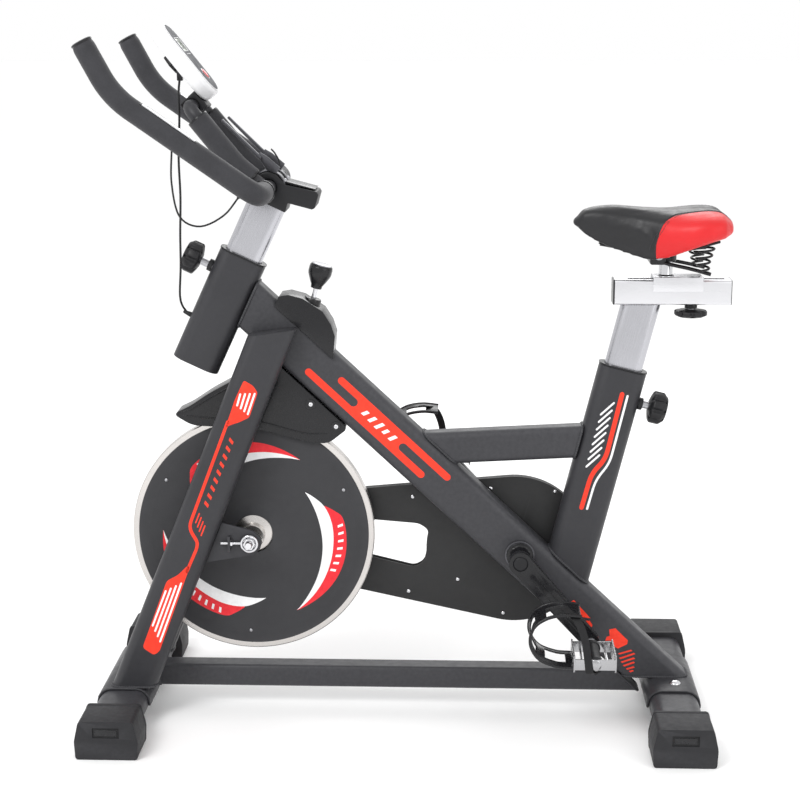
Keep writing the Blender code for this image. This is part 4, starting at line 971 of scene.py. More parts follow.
# ------------------------------------------------------ fender, shroud, guard
FENDER = mm(
    (-383, 505), (-351, 486), (-316, 484.5), (-240, 480), (-158, 459), (-129, 457), (-100, 480),
    (-101, 487), (-219, 597.5), (-238, 590), (-286, 560), (-321, 541), (-355, 518)
)
FENDER_HOLLOW = mm(
    (-368.5, 480), (-240, 430), (-100, 430), (-116, 495), (-222, 592.5), (-237, 586.2), (-284.5, 556.5),
    (-319.5, 537.5), (-352, 515.5), (-371.5, 504)
)


def build_fender():
    body = prism(soft_outline(FENDER, 0.012), -0.0235, 0.0235)
    cuts = [prism(soft_outline(FENDER_HOLLOW, 0.010), -0.0205, 0.0205)]
    cuts.append(pin(0.0070, 0.25, 0.40, WHEEL, BRAKE_DIR))
    add("fender_shell", bake(body, cuts, bevel=0.0014, angle=50), "gloss", "fender", crease=30)
    for side, sign in SIDES:
        for name, points in (("upper", mm((-372, 508.5), (-350, 514.5), (-318, 534.5), (-284, 553),
                                          (-228, 581.5))),
                             ("lower", mm((-366, 503), (-320, 499), (-250, 495), (-170, 475),
                                          (-130, 474)))):
            path = smooth_route([(x, sign * 0.0235, z) for x, z in points], 0.003)
            taper = lambda i, n=len(path): 0.0004 + 0.0010 * math.sin(math.pi * i / (n - 1)) ** 0.4
            extra(f"fender_{name}_rib_{side}", pipe(path, taper, 10), "gloss", "fender")
        for i, (x, z) in enumerate(((-0.157, 0.523), (-0.116, 0.486))):
            at = (x, sign * 0.0234, z)
            pad = turned(mm((0, 0), (8.5, 0), (8, 1.2), (0, 1.2)), at, Y * sign, 40)
            extra(f"fender_boss_{side}_{i}", pad, "gloss", "fender")
            bolt_head(f"fender_bolt_{side}_{i}", (x, sign * 0.0246, z), Y * sign, 0.0042, "chrome",
                      "fender")
    add("brake_shroud_shell", node_copy("brake_shroud", 0.0016), "gloss", "brake_shroud", crease=30)


def guard_outline(front_r, rear_r, steps=28, front_at=WHEEL, rear_at=CRANK):
    dx, dz = rear_at.x - front_at.x, rear_at.z - front_at.z
    lean = math.degrees(math.atan2(dz, dx))
    spread = math.degrees(math.acos((front_r - rear_r) / math.hypot(dx, dz)))
    front = arc(front_at.x, front_at.z, front_r, lean + spread, lean + 360 - spread, steps)
    return front + arc(rear_at.x, rear_at.z, rear_r, lean - spread, lean + spread, steps * 2)


def build_guards():
    ends = {"front_at": Vector((-0.246, 0.0, 0.290)), "rear_at": Vector((0.177, 0.0, 0.264))}
    window = mm((-175, 276), (10, 231), (26, 240), (30, 256), (30, 276), (34, 296))
    window = soft_outline(window + [(0.018, 0.3075), (-0.172, 0.3230)], 0.008)
    for name, y0, y1, base0, base1 in (("inner", 0.0280, 0.0352, 0.0300, 0.040),
                                       ("outer", 0.0355, 0.0435, 0.030, 0.0415)):
        tray = prism(guard_outline(0.062, 0.126, **ends), y0, y1)
        cuts = [prism(guard_outline(0.0595, 0.1235, **ends), base0, base1),
                prism(window, y0 - 0.01, y1 + 0.01)]
        cuts += [pin(0.0180, 0.01, 0.07, CRANK, Y), pin(0.0170, 0.01, 0.07, WHEEL, Y)]
        node = f"belt_guard_{name}"
        add(node + "_shell", bake(tray, cuts, bevel=0.0011, angle=50), "guard", node, crease=30)
    for i, (x, z) in enumerate(GUARD_SCREWS):
        for side, sign, y in (("in", -1, 0.0281), ("out", 1, 0.0434)):
            bolt_head(f"guard_screw_{side}_{i}", (x, y, z), Y * sign, 0.0036, "chrome",
                      "belt_guard_inner")
    ridge = guard_outline(0.056, 0.120, **ends)
    path = [Vector((x, 0.0434, z)) for x, z in ridge]
    extra("guard_outer_ridge", pipe(path, 0.0011, 10, True), "guard", "belt_guard_outer")
    boss = mm((18.2, 43.3), (30, 43.3), (28.5, 44.6), (18.2, 45))
    extra("guard_outer_boss", turned(boss, CRANK, Y, 72, True), "guard", "belt_guard_outer")
    build_belt()


GUARD_SCREWS = mm((7, 354), (137, 369.5), (244, 365), (83, 210), (0, 188), (160, 151))


def build_belt():
    outer, inner = guard_outline(0.0370, 0.0990, 40), guard_outline(0.0348, 0.0968, 40)
    count = len(outer)
    verts, rings = [], []
    rings.append((outer, 0.0305))
    rings.append((outer, 0.0405))
    for i in range(11):
        shape = inner if i % 2 else guard_outline(0.0341, 0.0961, 40)
        rings.append((shape, 0.0405 - 0.0010 * i))
    for shape, y in rings:
        verts += [(x, y, z) for x, z in shape]
    faces = []
    for i in range(len(rings)):
        faces += bridge(i * count, ((i + 1) % len(rings)) * count, count)
    add("drive_belt_ribbed", mesh_from(verts, faces), "belt", "drive_belt", crease=30)


# ----------------------------------------------------------- cranks and pedals
def crank_end(sign):
    a = math.radians(CRANK_ANGLE)
    return CRANK - Vector((math.cos(a), 0.0, math.sin(a))) * CRANK_LENGTH * sign


def build_cranks():
    pulley = mm(
        (8.8, 30.5), (95.5, 30.5), (96, 31), (96, 40.2), (95.5, 40.5), (90.5, 40.5), (89.5, 40),
        (86, 37), (35, 37), (30.5, 40.8), (29.5, 41.3), (8.8, 41.3)
    )
    add("crank_pulley_body", turned(pulley, CRANK, Y, 96, True), "gloss", "crank_pulley")
    for side, sign in SIDES:
        end = crank_end(sign)
        name = f"crank_{side}"
        lean = math.degrees(math.atan2(end.z - CRANK.z, end.x - CRANK.x))
        outline = arc(CRANK.x, CRANK.z, 0.0190, lean + 80, lean + 280, 32) + arc(end.x, end.z, 0.0140,
                                                                                 lean - 90, lean + 90, 20)
        run = (end - CRANK).normalized()
        across = Vector((-run.z, 0.0, run.x))
        slot = stroke([(0.034, 0.0), (0.148, 0.0)], 0.0095, 8)
        place = lambda s, t, h: CRANK + run * s + across * t + Y * sign * h
        cuts = [slab([slot], place, 0.0768, 0.0900), pin(0.0088, 0.05, 0.0745, CRANK, Y * sign)]
        cuts.append(pin(0.0120, 0.0765, 0.09, CRANK, Y * sign, 48))
        arm = bake(prism(outline, sign * 0.0640, sign * 0.0780), cuts, bevel=0.0022, angle=50)
        spindle = mm(
            (0, 70), (7, 70), (7, 78), (8.2, 78.4), (8.2, 85), (6.6, 85.6), (6.6, 96), (5.5, 97),
            (5.5, 181.5), (0, 182)
        )
        add(name + "_arm", arm, "gloss", name)
        extra(name + "_pedal_spindle", turned(spindle, (end.x, 0, end.z), Y * sign, 48), "steel", name)
        cap = mm((0, 76), (11.2, 76), (11.4, 77.2), (10, 78.6), (4, 79), (0, 78.6))
        extra(name + "_cap", turned(cap, CRANK, Y * sign, 48), "plastic", name)
        build_pedal(side, sign, end)


def pedal_frame(end, sign):
    return Matrix.Translation((end.x, sign * PEDAL_Y, end.z))


def build_pedal(side, sign, end):
    node = f"pedal_{side}"
    frame_at = pedal_frame(end, sign)
    barrel = mm(
        (5.8, -40.5), (10, -40.5), (13, -38.5), (13, -30), (11.2, -28), (11.2, 28), (13, 30), (13, 38.5),
        (10, 40.5), (5.8, 40.5)
    )
    parts = [turned(barrel, (0, 0, 0), Y, 40, True)]
    cap = mm((0, 40.5), (9.5, 40.5), (9.5, 42.5), (7.5, 44), (0, 44))
    parts.append(turned(cap, (0, 0, 0), Y * sign, 40))
    outline = []
    for edge in (-1, 1):
        for i in range(7):
            y = edge * (0.012 * i - 0.042)
            outline += [(y + edge * 0.0004, edge * 0.0100), (y + edge * 0.0044, edge * 0.0140)]
            outline += [(y + edge * 0.0072, edge * 0.0140), (y + edge * 0.0112, edge * 0.0100)]
    for x in (-0.0340, 0.0310):
        plate = solid([(x, y, z) for y, z in outline], [(x + 0.0026, y, z) for y, z in outline])
        cuts = [box((x - 0.01, y - 0.0085, -0.0035), (x + 0.02, y + 0.0085, 0.0050)) for y in (-0.0225,
                                                                                               0.0225)]
        parts.append(bake(plate, cuts, bevel=0.0005))
    for y in (-0.0412, 0.0386):
        parts.append(bake(box((-0.0330, y, -0.0090), (0.0330, y + 0.0026, 0.0090)), bevel=0.0006))
    for x in (-0.0200, 0.0200):
        parts.append(bake(box((x - 0.0014, -0.040, -0.0040), (x + 0.0014, 0.040, 0.0040)), bevel=0.0005))
    core = parts.pop(0)
    core.transform(frame_at)
    extra(node + "_core", core, "plastic", node)
    mesh = merge(parts)
    mesh.transform(frame_at)
    add(node + "_cage", mesh, "cage", node)
    build_toe_basket(side, sign, frame_at)


def build_toe_basket(side, sign, frame_at):
    """Moulded basket: a bent web with openings, a rim down each edge, and its strap."""
    node = f"toe_clip_{side}"
    curve = mm(
        (-34.5, 0, -8), (-60, 0, -6), (-88, 0, 6), (-102, 0, 30), (-98, 0, 56), (-78, 0, 72),
        (-50, 0, 78), (-22, 0, 76)
    )
    path = smooth_route(curve, 0.0035)
    total = len(path) - 1
    verts, faces = [], []
    half = lambda t: 0.0345 - 0.006 * max(0.0, t - 0.55) / 0.45
    holes = ((0.05, 0.24, -0.62, 0.62), (0.34, 0.60, -0.70, -0.10), (0.34, 0.60, 0.10, 0.70),
             (0.70, 0.90, -0.6, 0.6))
    cols = 24
    for layer in (-1, 1):
        for i, point in enumerate(path):
            run = heading(path, i)
            out = Vector((run.z, 0.0, -run.x)) * 0.0013 * layer
            for j in range(cols + 1):
                y = -1 + 2 * j / cols
                bow = out + Vector((run.z, 0, -run.x)) * 0.004 * (1 - y * y)
                verts.append(point + bow + Y * y * half(i / total))
    rows = total + 1
    solid = {}
    for i in range(total):
        for j in range(cols):
            t, y = (i + 0.5) / total, -1 + 2 * (j + 0.5) / cols
            solid[i, j] = not any(a < t < b and c < y < d for a, b, c, d in holes)
    at = lambda layer, i, j: layer * rows * (cols + 1) + i * (cols + 1) + j
    for (i, j), keep in solid.items():
        if not keep:
            continue
        quad = [(i, j), (i, j + 1), (i + 1, j + 1), (i + 1, j)]
        for layer in (0, 1):
            faces.append(tuple(at(layer, a, b) for a, b in quad))
        for (di, dj), (p, q) in (((-1, 0), (0, 1)), ((0, 1), (1, 2)), ((1, 0), (2, 3)),
                                 ((0, -1), (3, 0))):
            if not solid.get((i + di, j + dj)):
                a, b = quad[p], quad[q]
                faces.append((at(0, *a), at(0, *b), at(1, *b), at(1, *a)))
    web = mesh_from(verts, faces)
    parts = [bake(web, bevel=0.0005, segments=2, angle=50)]
    for y in (-1, 1):
        edge = [p + Y * y * half(i / total) for i, p in enumerate(path)]
        parts.append(pipe(edge, 0.0026, 12))
    mesh = merge(parts)
    mesh.transform(frame_at)
    add(node + "_basket", mesh, "gloss", node, crease=50)
    strap = mm(
        (-50, 0, 81.2), (-30, 28, 70), (-18, 40, 45), (-12, 44.5, 10), (-8, 44, -12), (6, 20, -15),
        (4, -10, -16.5), (1, -40, -23), (6, -44, -40), (12, -46, -48)
    )
    strap = [Vector((x, y * sign, z)) for x, y, z in strap]
    ribbon(f"{node}_strap", smooth_route(strap, 0.003), X, 0.0060, 0.0009, frame_at, "belt", node)


def ribbon(name, path, wide, half, thick, frame_at, look, node):
    """Flat strap along a path, its width along one direction."""
    verts, faces = [], []
    for i, point in enumerate(path):
        run = heading(path, i)
        across = (wide - run * wide.dot(run)).normalized()
        out = run.cross(across)
        for a, b in ((-1, -1), (1, -1), (1, 1), (-1, 1)):
            verts.append(point + across * half * a + out * thick * b)
    for i in range(len(path) - 1):
        faces += bridge(4 * i, 4 * i + 4, 4)
    last = 4 * (len(path) - 1)
    mesh = mesh_from(verts, faces + [(0, 1, 2, 3), (last, last + 1, last + 2, last + 3)])
    mesh.transform(frame_at)
    extra(name, bake(mesh, bevel=0.0004, segments=2), look, node)


# --------------------------------------------------------------------- brake
def build_brake():
    knob = mm(
        (4.6, 424), (8.8, 424), (9.2, 426.2), (9.5, 429), (13.5, 436), (18.2, 446), (19, 450), (19, 457),
        (18.2, 461), (16.8, 462.6), (0, 463)
    )
    add("brake_knob_cap", turned([(0, 0.45), (0.0046, 0.45)] + knob, WHEEL, BRAKE_DIR, 64), "gloss",
        "brake_knob")
    ring = mm((0, 462.5), (16.4, 462.5), (16.8, 463), (15.6, 464.2), (12, 464.8), (0, 465))
    extra("brake_knob_trim", turned(ring, WHEEL, BRAKE_DIR, 64), "steel", "brake_knob")
    rod = [(0.0, 0.2215), (0.0040, 0.2220)]
    for i in range(20):
        rod += [(0.0040, 0.2300 + 0.0012 * i), (0.0036, 0.2306 + 0.0012 * i)]
    rod += mm((4, 255), (4, 449), (0, 449.5))
    add("brake_rod_steel", turned(rod, WHEEL, BRAKE_DIR, 32), "chrome", "brake_rod")
    collar_shape = mm(
        (4.5, 345), (12, 345), (12, 383.8), (12.8, 384.5), (13.5, 385.5), (13.5, 405), (12.6, 406.8),
        (11, 407.5), (4.5, 407.5)
    )
    add("brake_collar_body", turned(collar_shape, WHEEL, BRAKE_DIR, 64, True), "gloss", "brake_collar")
    lean = math.degrees(math.atan2(BRAKE_DIR.z, BRAKE_DIR.x))
    holder = arc(WHEEL.x, WHEEL.z, 0.2120, lean + 9, lean - 9, 20) + arc(WHEEL.x, WHEEL.z, 0.2270,
                                                                         lean - 7, lean + 7, 20)
    felt = arc(WHEEL.x, WHEEL.z, 0.2060, lean + 8.6, lean - 8.6, 20) + arc(WHEEL.x, WHEEL.z, 0.2122,
                                                                           lean - 8.6, lean + 8.6, 20)
    add("brake_pad_holder", bake(prism(holder, -0.0100, 0.0100), bevel=0.0008), "steel", "brake_pad")
    extra("brake_pad_felt", bake(prism(felt, -0.0098, 0.0098), bevel=0.0008), "foam", "brake_pad")


# ---------------------------------------------------------------- handlebars
def bar_route(sign):
    points = [(-0.4725, 0.174, 1.0995), (-0.4319, 0.174, 1.0233), (-0.3170, 0.174, 0.9434),
              (BAR.x, 0.174, BAR.z)]
    return [Vector((x, y * sign, z)) for x, y, z in points] + [BAR]


def build_handlebar():
    left, right = rounded(bar_route(-1), 0.034, 10), rounded(bar_route(1), 0.034, 10)
    bars = [pipe(left[:-1] + list(reversed(right[:-1])), 0.0125, 28)]
    loop = [(BAR.x, -0.062, BAR.z), (-0.2640, -0.060, 0.9110), (-0.3369, -0.056, 1.0004)]
    loop += [(x, -y, z) for x, y, z in reversed(loop)]
    bars.append(pipe(rounded([Vector(p) for p in loop], 0.022, 10), 0.011, 24))
    add("handlebar_tubes", merge(bars), "paint", "handlebar")
    for side, sign in SIDES:
        build_grip(side, sign)
    head = HEAD_BASE + HEAD_AXIS * 0.030
    end = HEAD_BASE + HEAD_AXIS * 0.2905
    post = sweep(oval(0.062, 0.032, 0.015, 12), head, end, inner=oval(0.058, 0.028, 0.013, 12))
    cuts = [pin(0.0060, 0.02, 0.06, HEAD_BASE + HEAD_AXIS * (HEAD_KNOB_AT - HOLE_PITCH * i),
                HEAD_FRONT) for i in range(-1, 5)]
    add("handlebar_post_tube", bake(post, cuts, bevel=0.0005, angle=50), "post_head", "handlebar_post")
    build_clamp()


def build_grip(side, sign):
    """Foam sleeves on the arm and the inner loop, with their end plugs and rings."""
    route = bar_route(sign)
    tip = (route[0] - route[1]).normalized()
    path = rounded([route[0]] + route[1:4] + [Vector((BAR.x, sign * 0.100, BAR.z))], 0.034, 10)
    fine = [path[0]]
    for a, b in zip(path, path[1:]):
        steps = max(1, round((b - a).length / 0.004))
        fine += [a.lerp(b, i / steps) for i in range(1, steps + 1)]
    count = len(fine)
    size = lambda i: 0.0170 - 0.0016 * max(0.0, 1 - i / 1.5) - 0.0020 * max(0.0,
                                                                            1 - (count - 1 - i) / 1.5)
    name = f"grip_{side}"
    grip = add(name + "_foam", pipe(fine, size, 40), "foam", name)
    plug = mm((0, -1), (15, -1), (16.6, 0.8), (16.6, 3), (14, 4.2), (0, 4.6))
    extra(name + "_plug", turned(plug, route[0], tip, 48), "gloss", name)
    ring = mm((13, -6), (18.2, -6), (18.6, -4.5), (18.2, 0), (13, 0))
    extra(name + "_ring", turned(ring, (BAR.x, sign * 0.100, BAR.z), Y * -sign, 48, True), "gloss",
        name)
    pulse_plate(side, sign)
    inner = [Vector((-0.2400, sign * 0.0610, 0.8920)), Vector((-0.2640, sign * 0.060, 0.9110))]
    inner.append(Vector((-0.3220, sign * 0.0568, 0.9822)))
    sleeve = rounded(inner, 0.022, 8)
    extra(f"inner_sleeve_{side}", pipe(sleeve, 0.0172, 32), "foam", name)
    for i, (at, way) in enumerate(((inner[0], inner[0] - inner[1]), (inner[2], inner[2] - inner[1]))):
        cap = mm((10.8, -1), (16.6, -1), (17.6, 0.6), (17, 3), (10.8, 3.6))
        extra(f"inner_cap_{side}_{i}", turned(cap, at, way, 40, True), "gloss", name)


def pulse_plate(side, sign):
    """Contact plate on top of the arm, in a black surround."""
    a, b = Vector((-0.3180, sign * 0.174, 0.9441)), Vector((-0.3950, sign * 0.174, 0.9976))
    run = (b - a).normalized()
    up = Y.cross(run)
    up = up if up.z > 0 else -up
    for name, look, grow, wide, lift in (("surround", "gloss", 0.004, 34, 0.0171),
                                         ("plate", "chrome", 0.0, 27, 0.0182)):
        verts = []
        cols, rows = 14, 2
        for r in range(rows):
            point = a - run * grow if r == 0 else b + run * grow
            for inner in (0, 1):
                for i in range(cols + 1):
                    turn = math.radians(-wide + 2 * wide * i / cols)
                    radius = lift - inner * 0.0016
                    verts.append(point + Y * radius * math.sin(turn) + up * radius * math.cos(turn))
        n = cols + 1
        faces = []
        for i in range(cols):
            faces += [(i, i + 1, 2 * n + i + 1, 2 * n + i), (n + i, n + i + 1, 3 * n + i + 1, 3 * n + i)]
            faces += [(i, i + 1, n + i + 1, n + i), (2 * n + i, 2 * n + i + 1, 3 * n + i + 1, 3 * n + i)]
        for i in (0, cols):
            faces.append((i, n + i, 3 * n + i, 2 * n + i))
        mesh = bake(mesh_from(verts, faces), bevel=0.0005, segments=2)
        extra(f"pulse_{name}_{side}", mesh, look, f"grip_{side}")


def build_clamp():
    outline = arc(BAR.x, BAR.z, 0.0245, 60, 200, 30)
    outline += mm((-253, 859), (-193, 831), (-188, 850), (-150, 840))
    outline += mm((-145, 842), (-139, 863), (-142, 868), (-190, 878.5))
    cuts = [pin(0.0128, -0.06, 0.06, BAR, Y, 48)]
    top = HEAD_BASE + HEAD_AXIS * 0.2908
    cuts.append(sweep(oval(0.120, 0.120, 0.002, 1), top - HEAD_AXIS * 0.05, top))
    block = bake(prism(outline, -0.034, 0.034), cuts, bevel=0.0018, angle=40)
    add("clamp_block", block, "plastic", "handlebar_clamp")
    lid = mm((-192, 881), (-145, 870), (-144, 871.6), (-191, 884))
    extra("clamp_lid", bake(prism(lid, -0.028, 0.028), bevel=0.0006), "gloss", "handlebar_clamp")
    for side, sign in SIDES:
        strap = arc(BAR.x, BAR.z, 0.0272, 8, 172, 28) + arc(BAR.x, BAR.z, 0.0248, 172, 8, 28)
        cap = bake(prism(strap, sign * 0.012, sign * 0.031), bevel=0.0007, angle=40)
        extra(f"clamp_strap_{side}", cap, "dark_steel", "handlebar_clamp", crease=30)
        for i, turn in enumerate((20, 90, 150)):
            a = math.radians(turn)
            out = Vector((math.cos(a), 0, math.sin(a)))
            bolt_head(f"clamp_bolt_{side}_{i}", BAR + out * 0.0270 + Y * sign * 0.0215, out, 0.0048,
                      "steel",
                      "handlebar_clamp", height=0.0040)
        ear = mm((-205, 896), (-198, 906), (-218, 923), (-230, 930), (-233, 923), (-220, 902))
        ear = bake(prism(ear, sign * 0.0325, sign * 0.0355), bevel=0.0010)
        extra(f"clamp_ear_{side}", ear, "dark_steel", "handlebar_clamp")
        plate = mm((-230, 918), (-290, 979), (-287, 982), (-226.5, 923))
        plate = bake(prism(plate, sign * 0.0330, sign * 0.0405), bevel=0.0012)
        extra(f"loop_brace_{side}", plate, "dark_steel", "handlebar_clamp")
    wire = mm((-207, -18, 902), (-201, -19, 912), (-208, -19.5, 927), (-214, -19.5, 934))
    extra("clamp_hook", pipe(smooth_route(wire, 0.002), 0.0013, 12), "plastic", "handlebar_clamp")


BUTTON_Y = -0.033
MID = Vector((-0.3385, 0.0, 1.0760))
UP = Vector((-0.6247, 0.0, 0.7809))
OUT = Vector((0.7809, 0.0, 0.6247))


def on_monitor(x, y, z=0.0):
    return MID + Y * x + UP * y + OUT * z


def monitor_plate(outline, z0, z1, shrink=1.0, **edge):
    low = [on_monitor(x, y, z0) for x, y in outline]
    mesh = solid(low, [on_monitor(x * shrink, y * shrink, z1) for x, y in outline])
    return bake(mesh, **edge) if edge else mesh


def flipped(outline):
    return [(b, a) for a, b in outline]


def build_monitor():
    hole = monitor_plate(flipped(oval(0.1286, 0.0646, 0.030, 12)), -0.0060, 0.01)
    shell = monitor_plate(flipped(oval(0.136, 0.088, 0.036, 14)), -0.026, -0.002)
    shell = bake(bake(shell, bevel=0.0060, segments=5, angle=40), [hole])
    add("monitor_case", shell, "white_case", "monitor_shell", crease=50)
    recess = monitor_plate(mm((-20, 12), (20, 12), (20, 38), (-20, 38)), -0.0018, 0.01)
    well = moved(lathe(mm((0, -4.2), (9.2, -4.2), (9.2, 10), (0, 10)), 48), on_monitor(0, BUTTON_Y), OUT)
    face = monitor_plate(flipped(oval(0.128, 0.064, 0.0297, 14)), -0.0057, -0.0005, 0.985)
    add("monitor_lens", bake(face, [recess, well], bevel=0.0006), "navy", "monitor_face")
    rim = rounded([on_monitor(x, y, -0.0012) for x, y in flipped(oval(0.1284, 0.0644, 0.0298, 10))],
                  0.001, 2, True)
    extra("monitor_trim", pipe(resample(rim, 0.003), 0.0008, 10, True), "white_case", "monitor_shell")
    edge = mm((-18.6, 13.4), (18.6, 13.4), (18.6, 36.6), (-18.6, 36.6))
    extra("monitor_display", monitor_plate(edge, -0.0019, -0.0014, bevel=0.0002), "lcd", "monitor_face")
    frame_line = [on_monitor(x, y, -0.0009) for x, y in ((-0.0198, 0.0122), (0.0198, 0.0122),
                                                         (0.0198, 0.0378), (-0.0198, 0.0378))]
    bezel = rounded(frame_line, 0.002, 4, True)
    extra("monitor_bezel", pipe(resample(bezel, 0.0015), 0.0007, 8, True), "white_case", "monitor_face")
    digits()
    button = mm((0, -3.2), (8.6, -3.2), (8.8, -2.8), (8.8, 0.2), (8, 1.1), (6, 1.7), (0, 2))
    add("start_button", turned(button, on_monitor(0, BUTTON_Y), OUT, 64), "button", "monitor_button")
    ring = mm((9.4, -0.8), (10.4, -0.8), (10.4, 0.2), (9.8, 0.5), (9.4, 0.1))
    extra("button_ring", turned(ring, on_monitor(0, BUTTON_Y), OUT, 64, True), "chrome", "monitor_face")
    shapes = []
    for i in range(5):
        x = -0.0140 + 0.0070 * i
        shapes.append([(x - 0.0022, 0.0060), (x + 0.0022, 0.0060), (x + 0.0022, 0.0070),
                       (x - 0.0022, 0.0070)])
    extra("monitor_marks", slab(shapes, on_monitor, -0.0008, -0.0003), "white_case", "monitor_face")
    add("monitor_shoe", node_copy("monitor_bracket", 0.0012), "plastic", "monitor_bracket")
    plug = mm((11, -16), (20, 0), (11, 16), (-11, 16), (-20, 0), (-11, -16))
    rear = monitor_plate([(a, b + 0.010) for a, b in plug], -0.0345, -0.0258, bevel=0.0016)
    extra("monitor_socket", rear, "plastic", "monitor_shell")


def digits():
    """The readout, from seven-segment strokes."""
    shapes = []
    for x in (-0.0075, 0.0055):
        w, h, t = 0.0042, 0.0072, 0.0011
        corners = [(x - w, 0.025 - h), (x + w, 0.025 - h), (x + w, 0.025), (x + w, 0.025 + h),
                   (x - w, 0.025 + h), (x - w, 0.025)]
        for a, b in zip(corners, corners[1:] + corners[:1]):
            run = (Vector(b) - Vector(a)).normalized() * 0.0007
            shapes.append(stroke([Vector(a) + run, Vector(b) - run], t * 1.3, 3))
    shapes.append(mm((-1.6, 17.2), (-0.2, 17.2), (-0.2, 18.6), (-1.6, 18.6)))
    extra("monitor_digits", slab(shapes, on_monitor, -0.0015, -0.0012), "digit", "monitor_face")


# --------------------------------------------------------------------- knobs
def build_knob(node, base, axis, screw, neck, flat):
    """Fluted hand knob, its collar and its screw."""
    steel = [(0, -screw), (0.0048, -screw), (0.0055, -screw + 0.001), (0.0055, 0.0003), (0.0055, 0.0075)]
    steel += [(0.0062, 0.0078), (0.0062, neck), (0, neck)]
    grip = mm(
        (0, 0.2), (11, 0.2), (18, 2.2), (24, 4.5), (25.8, 6), (26.2, 8), (26.2, 21), (25, 23),
        (21.5, 26.5), (20.5, 28), (19, 28.8), (0, 29)
    )
    flute = lambda a, row: 1.0 - 0.15 * max(0.0, math.cos(a * 8)) ** 1.2 if 3 <= row <= 8 else 1.0
    mesh = turned([(r, neck + h * flat) for r, h in grip], base, axis, 160, wave=flute)
    add(node + "_grip", mesh, "plastic", node, crease=45)
    extra(node + "_screw", turned(steel, base, axis, 40), "steel", node)
    collar = mm((5.7, 0.3), (9.8, 0.3), (10, 1), (10, 6.6), (9.2, 7.3), (6.4, 7.5))
    extra(node + "_collar", turned(collar, base, axis, 48, True), "plastic", node)
    top = neck + 0.0290 * flat
    disc = [(0.0, top - 0.0001), (0.0130, top - 0.0001), (0.0140, top + 0.0003), (0.0136, top + 0.0007),
            (0.0, top + 0.0006)]
    extra(node + "_disc", turned(disc, base, axis, 48), "gloss", node)


def build_knobs():
    head = HEAD_BASE + HEAD_AXIS * HEAD_KNOB_AT + HEAD_FRONT * 0.039
    build_knob("head_knob", head, HEAD_FRONT, 0.0070, 0.0200, 1.0)
    seat = SEAT_BASE + SEAT_AXIS * SEAT_KNOB_AT + SEAT_REAR * 0.039
    build_knob("seat_knob", seat, SEAT_REAR, 0.0070, 0.0170, 1.0)
    build_knob("rail_knob", Vector((0.454, 0, 0.6873)), -Z, 0.0100, 0.0090, 0.42)


# ---------------------------------------------------------------------- seat
def build_seat():
    end = SEAT_BASE + SEAT_AXIS * 0.4533
    start = end - SEAT_AXIS.normalized() * 0.295
    post = sweep(oval(0.062, 0.032, 0.015, 12), start, end, None, Z, oval(0.058, 0.028, 0.013, 12))
    cuts = [pin(0.0060, 0.02, 0.06, SEAT_BASE + SEAT_AXIS * (SEAT_KNOB_AT - HOLE_PITCH * i),
                SEAT_REAR) for i in range(-2, 6)]
    add("seat_post_tube", bake(post, cuts, bevel=0.0005, angle=50), "post_seat", "seat_post")
    rail = sweep(oval(0.040, 0.040, 0.004, 8), Vector((0.330, 0, RAIL_Z)), Vector((0.5150, 0, RAIL_Z)),
                 inner=oval(0.0355, 0.0355, 0.002, 8))
    slots = [box((0.352, -0.0070, 0.7), (0.506, 0.0070, 0.74)),
             box((0.412, -0.0070, 0.68), (0.502, 0.0070, 0.7))]
    extra("slider_rail", bake(rail, slots, bevel=0.0004, angle=60), "rail", "seat_post")
    loop = loop_on_plane(oval(0.062, 0.032, 0.015), start, SEAT_AXIS.normalized(), Z, end)
    weld("rail_weld", [p + Z * -0.0004 for p in loop], 0.0018, "seat_post")
    for name, x0, x1 in (("front", 0.3280, 0.3312), ("rear", 0.5144, 0.5160)):
        cap = sweep(oval(0.0402, 0.0402, 0.0042, 8), Vector((x0, 0, RAIL_Z)), Vector((x1, 0, RAIL_Z)))
        extra(f"rail_cap_{name}", bake(cap, bevel=0.0010), "gloss", "seat_post")
    build_carriage()
    build_saddle_metal()
    build_cushion()


def build_carriage():
    body = mm(
        (-16.5, 691), (16.5, 691), (16.5, 724.5), (6.2, 724.5), (6.2, 728), (20.5, 728), (20.5, 732.2),
        (-20.5, 732.2), (-20.5, 728), (-6.2, 728), (-6.2, 724.5), (-16.5, 724.5)
    )
    block = solid([(0.391, y, z) for y, z in body], [(0.470, y, z) for y, z in body])
    block = bake(block, [pin(0.0058, 0.68, 0.70, (0.454, 0, 0), Z)], bevel=0.0007)
    stub = mm(
        (0, 731.5), (14, 731.5), (13.8, 733), (11.2, 735), (11, 736), (11, 773.8), (10, 775), (0, 775)
    )
    add("carriage_block", block, "steel", "seat_carriage")
    for side, sign in SIDES:
        flange = box((0.391, sign * 0.0203, 0.7090), (0.470, sign * 0.0214, 0.7322))
        flange = bake(flange, bevel=0.0004)
        extra(f"carriage_flange_{side}", flange, "rail", "seat_carriage")
    extra("carriage_stub", turned(stub, SADDLE_PIN, Z, 56), "chrome", "seat_carriage")


